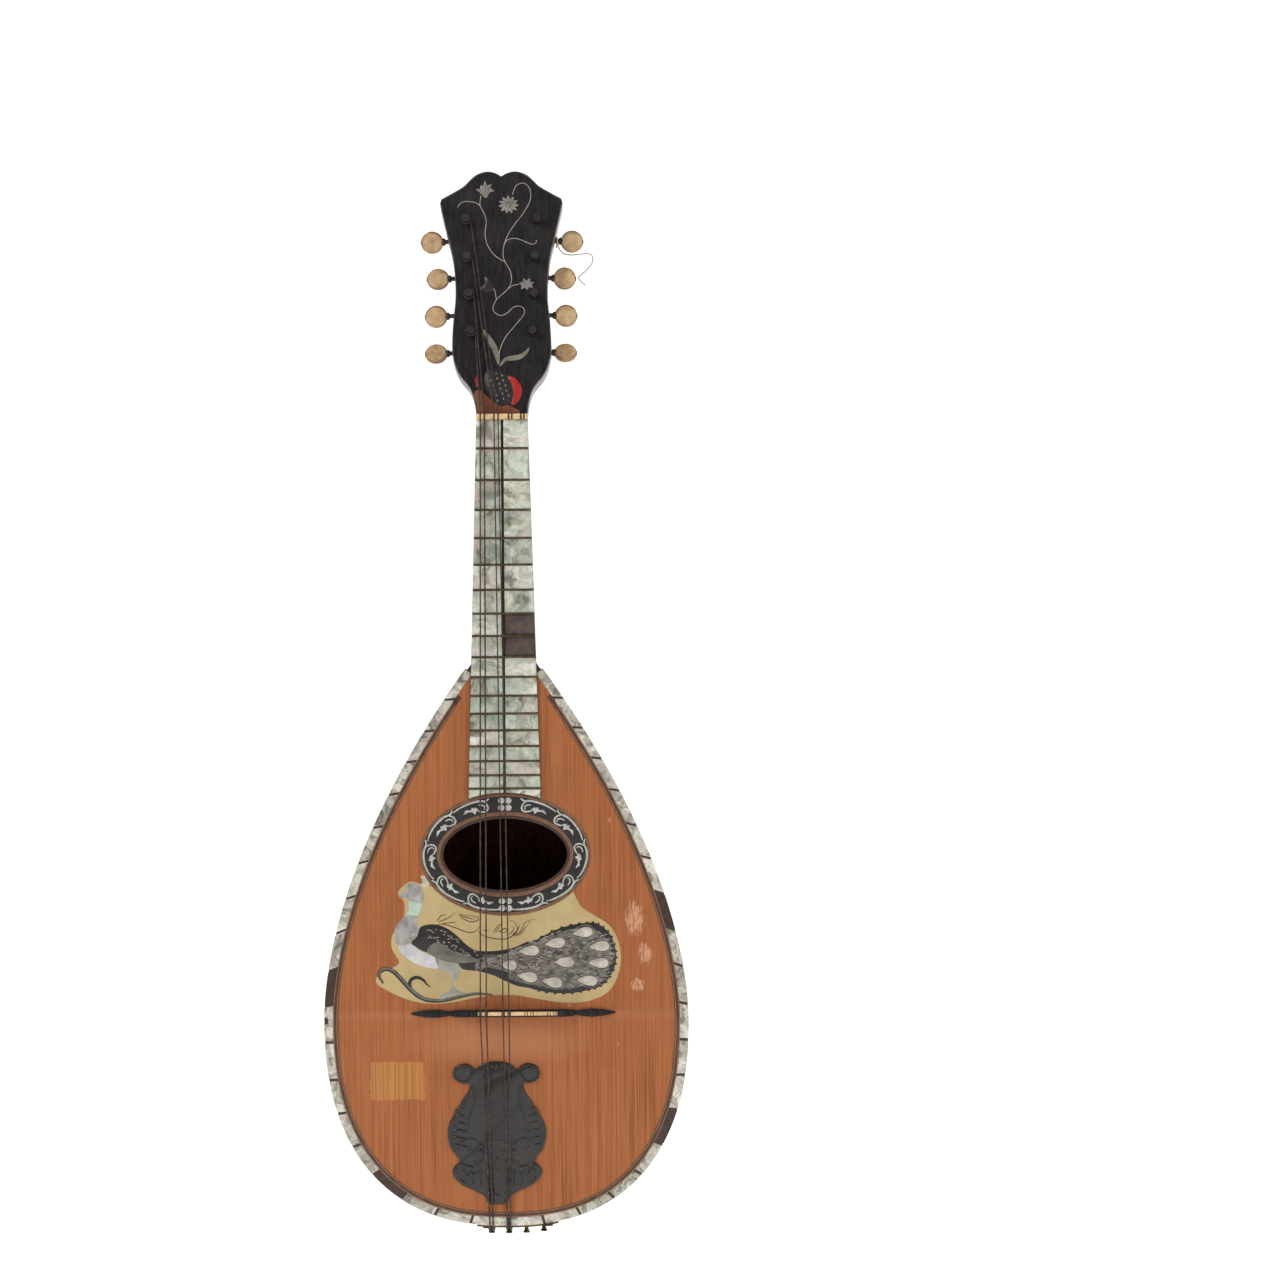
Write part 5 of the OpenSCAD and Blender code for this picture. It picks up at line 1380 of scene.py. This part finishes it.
def lyre_pieces(looks):
    """The carved guard below the bridge: a plate with leaves and knobs in relief."""
    half = [(0, 0), (5, -0.5), (9, -2.2), (11.6, -4.3), (14.2, -2.2), (18, -1.1), (22.6, -2.6),
            (24.3, -6.4), (22.8, -10.2), (19.4, -11.9), (15.4, -12.2), (15.9, -17), (18.8, -21.2),
            (23, -28.4), (26.6, -34.9), (27.7, -41.4), (26, -49.2), (21.2, -56.1), (24.4, -60),
            (24.8, -64.6), (19.6, -70), (11.6, -73.8), (7.2, -76.7), (5, -80.6), (0, -81)]
    curve = smooth(half, 5)
    outline = curve + [(-x, z) for x, z in reversed(curve[1:-1])]

    def place(x, z, h):
        return on_top(LYRE_X + x, LYRE_TOP + z, h)

    lifted = raised(place, 1.2)
    plate = Shape()
    inset = [(x * 0.965, -40 + (z + 40) * 0.985) for x, z in outline]
    plate.loft([[place(x, z, 0.03) for x, z in outline], [place(x, z, 0.75) for x, z in outline],
                [place(x * 0.985, -40 + (z + 40) * 0.993, 1.1) for x, z in outline],
                [place(x, z, 1.25) for x, z in inset]])
    plate.make("lyre_plate", looks["shell_carved"], slot="black_shell", replaces=["lyre_guard"])
    relief = Shape()

    def leaf(points, width, height, power=0.8):
        relief.ribbon(smooth(points, 6), swell(0.2, width, 0.94, 0.04, power), lifted, height, sink=0.3)

    def dome(x, z, r, height, squash=1.0):
        rings = []
        for k in range(7):
            a = math.pi / 2 * k / 6.3
            rings.append([lifted(x + r * math.cos(a) * math.cos(t),
                                 z + squash * r * math.cos(a) * math.sin(t), height * math.sin(a) - 0.1)
                          for t in (2 * math.pi * i / 20 for i in range(20))])
        relief.loft(rings)

    for side in (-1, 1):
        m = lambda pts: [(side * x, z) for x, z in pts]
        dome(side * 18.9, -6.5, 4.9, 0.95)
        leaf(m([(12.2, -6), (14.5, -3.4), (19, -2.0), (23.2, -4.6), (23.4, -8.6), (20, -11.2), (16, -10.6),
                (14.6, -7.6), (17, -5.4)]), 1.1, 0.7)
        leaf(m([(6.6, -3.4), (7.6, -14), (7.2, -28), (7.4, -44), (8.2, -52)]), 1.5, 0.75, 0.4)
        leaf(m([(13.5, -13), (12.2, -22), (15.4, -31), (17, -40)]), 0.7, 0.5)
        leaf(m([(14.4, -14), (14.6, -19), (18, -24), (21.6, -30)]), 1.5, 0.5)
        for k in range(6):
            leaf(m([(18.2 - 0.3 * k, -26.5 - 4.4 * k), (21.2 + 0.5 * k, -26.8 - 4.1 * k),
                    (23.6 + 0.5 * min(k, 3) - 0.3 * max(k - 3, 0), -29.5 - 4.2 * k)]), 1.9, 0.75)
        leaf(m([(9.5, -47), (14, -44), (19, -46), (22, -50)]), 2.2, 0.6)
        leaf(m([(8, -55), (12.5, -60), (17, -59.4), (21, -57.6)]), 2.4, 0.7)
        leaf(m([(12, -63), (16.6, -64.6), (19.2, -62.4), (17.6, -60.2)]), 1.5, 0.7)
        leaf(m([(4.6, -59), (6.4, -64.5), (5.4, -70.5)]), 2.3, 0.8)
        leaf(m([(9.2, -61), (10.6, -66), (9.2, -71.5)]), 2.1, 0.7)
        leaf(m([(14.2, -61), (15.4, -65.5), (13.6, -70)]), 2.0, 0.7)
        leaf(m([(19.6, -58.6), (22.8, -61.4), (22.4, -66), (18, -68.6)]), 2.2, 0.7)
        leaf(m([(1.9, -3.2), (3.4, -1.3)]), 1.6, 0.6)
        leaf(m([(4.2, -4.6), (6.8, -2.2)]), 1.8, 0.6)
        leaf(m([(6.0, -6.4), (9.6, -4.4)]), 1.8, 0.6)
        dome(side * 9.4, -51.6, 2.5, 0.8)
        dome(side * 15.4, -50.6, 1.5, 0.6)
        dome(side * 19.6, -45.4, 1.3, 0.5)
        dome(side * 3.7, -51.2, 1.1, 0.6)
        dome(side * 12.4, -57.0, 1.2, 0.5)
    leaf([(0, -4.5), (0, -1.2)], 1.9, 0.7)
    leaf([(0, -54), (0, -58), (0, -62)], 2.1, 0.7)
    for k in range(-3, 4):
        leaf([(1.35 * k, -16), (1.35 * k, -28), (1.35 * k, -43.4)], 0.55, 0.25, 0.3)
    leaf([(-5.2, -44.6), (0, -44.6), (5.2, -44.6)], 0.8, 0.3, 0.3)
    leaf([(-4.4, -74), (0, -76), (4.4, -74)], 1.4, 0.4)
    relief.make("lyre_relief", looks["shell_carved"], slot="black_shell")


def tail_drop(x):
    """How far the rim at x lies above the lowest point of the tail."""
    return TAIL_LEN * (1 - (1 - (abs(x) / (BODY_W / 2)) ** TAIL_POW) ** (1 / TAIL_POW))


def hook_z(x):
    """The face of the tailpiece where a hook at x comes out of it."""
    return TAIL_Z + tail_drop(x) - 1.2


def tail_pieces(looks):
    """The round ends of the hooks, and the twisted string ends that hold on to them."""
    tail_y = TAIL_LEN * math.tan(CANT)
    pin_y = tail_y + 8
    knobs, wraps = Shape(), Shape()
    for c in range(COURSES):
        x = hook_x(c)
        place = Matrix.Translation((x, pin_y, hook_z(x))) @ Matrix.Rotation(math.pi, 4, "X")
        knobs.lathe([(1.05, -0.9), (1.15, 0.2), (1.2, 1.9), (1.55, 2.35), (1.9, 2.75), (1.95, 3.15),
                     (1.6, 3.5), (0.9, 3.66), (0.05, 3.7)], place, 24)
    knobs.make("hook_knobs", looks["brass"], slot="aged_brass", replaces=["hitch_pins"])
    for k, r in enumerate((0.42, 0.42, 0.36, 0.36)):
        c, s = k // 2, -1 if k % 2 == 0 else 1
        pin = hook_x(c)
        plate = hook_z(pin)
        low = plate - 0.35 - r - (2 * r + 0.1 if s > 0 else 0)
        over = Vector((string_x(c, s), -9.95, SADDLE_Z - 1.3))
        bend = Vector((pin + s * 0.9, tail_y - 1.9, plate + 2.7))
        start = lerp(over, bend, 0.70)
        route = [tuple(lerp(start, bend, t / 40)) for t in range(40)]
        hooked = [bend, (pin + s * 0.9, tail_y + 0.6, plate + 0.2), (pin + s * 1.1, tail_y + 3.4, low)]
        route += [tuple(p) for p in smooth(hooked, 6)]
        for phase in (0, math.pi):
            strand = []
            for i, p in enumerate(route):
                a = phase + i * 0.95
                flat = 1 if i < 41 else 0.4
                strand.append((p[0] + 0.24 * math.cos(a), p[1] + 0.24 * math.sin(a) * flat, p[2]))
            wraps.tube(strand, 0.30, 7)
    wraps.make("string_twists", looks["wire"], slot="string_wire")


def thread(looks):
    """A scrap of cotton, looped over the top treble shaft and hanging beside the button below it."""
    route = [
        (30.9, 39.3, 95.6), (31, 39.2, 98), (31, 39.8, 99.5), (31.1, 39.2, 100.9), (31.2, 37.4, 101.5),
        (31.3, 35.7, 100.7), (31.4, 35.2, 99), (31.6, 35, 97),
        (33, 35, 94), (35.3, 35.1, 92), (37.9, 35.2, 91.5), (40.6, 35.3, 91.4), (44, 35.7, 91.7),
        (48, 36.2, 92.2),
        (50.5, 36.5, 91.4), (51.3, 36.5, 89.6), (50.8, 36.2, 86.7), (47.8, 35.4, 82.7), (44.5, 34.5, 79.9),
        (43.2, 33.9, 78.2), (44.5, 33.4, 76.4), (47.2, 33, 74)]
    points = smooth(route, 6)
    curve = bpy.data.curves.new("thread", "CURVE")
    curve.dimensions = "3D"
    curve.bevel_depth = THREAD_D / 2 * MM
    curve.bevel_resolution = 3
    spline = curve.splines.new("POLY")
    spline.points.add(len(points) - 1)
    for p, point in zip(spline.points, points):
        p.co = (*(Vector(point) * MM), 1)
    curve.materials.append(looks["cotton"])
    ob = bpy.data.objects.new("thread", curve)
    bpy.context.scene.collection.objects.link(ob)
    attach(ob, "root")
    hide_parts("loose_thread")
    length = sum(math.dist(a, b) for a, b in zip(points, points[1:])) * MM


# ---- The whole scene ------------------------------------------------------------------------------

stage()
LOOKS = build_materials()
paint_nodes(LOOKS)
for build in (bowl_pieces, edge_pieces, neck_pieces, board_pieces, button_pieces, rosette_pieces,
              bird_pieces, head_pieces, bridge_pieces, lyre_pieces, tail_pieces, thread):
    build(LOOKS)
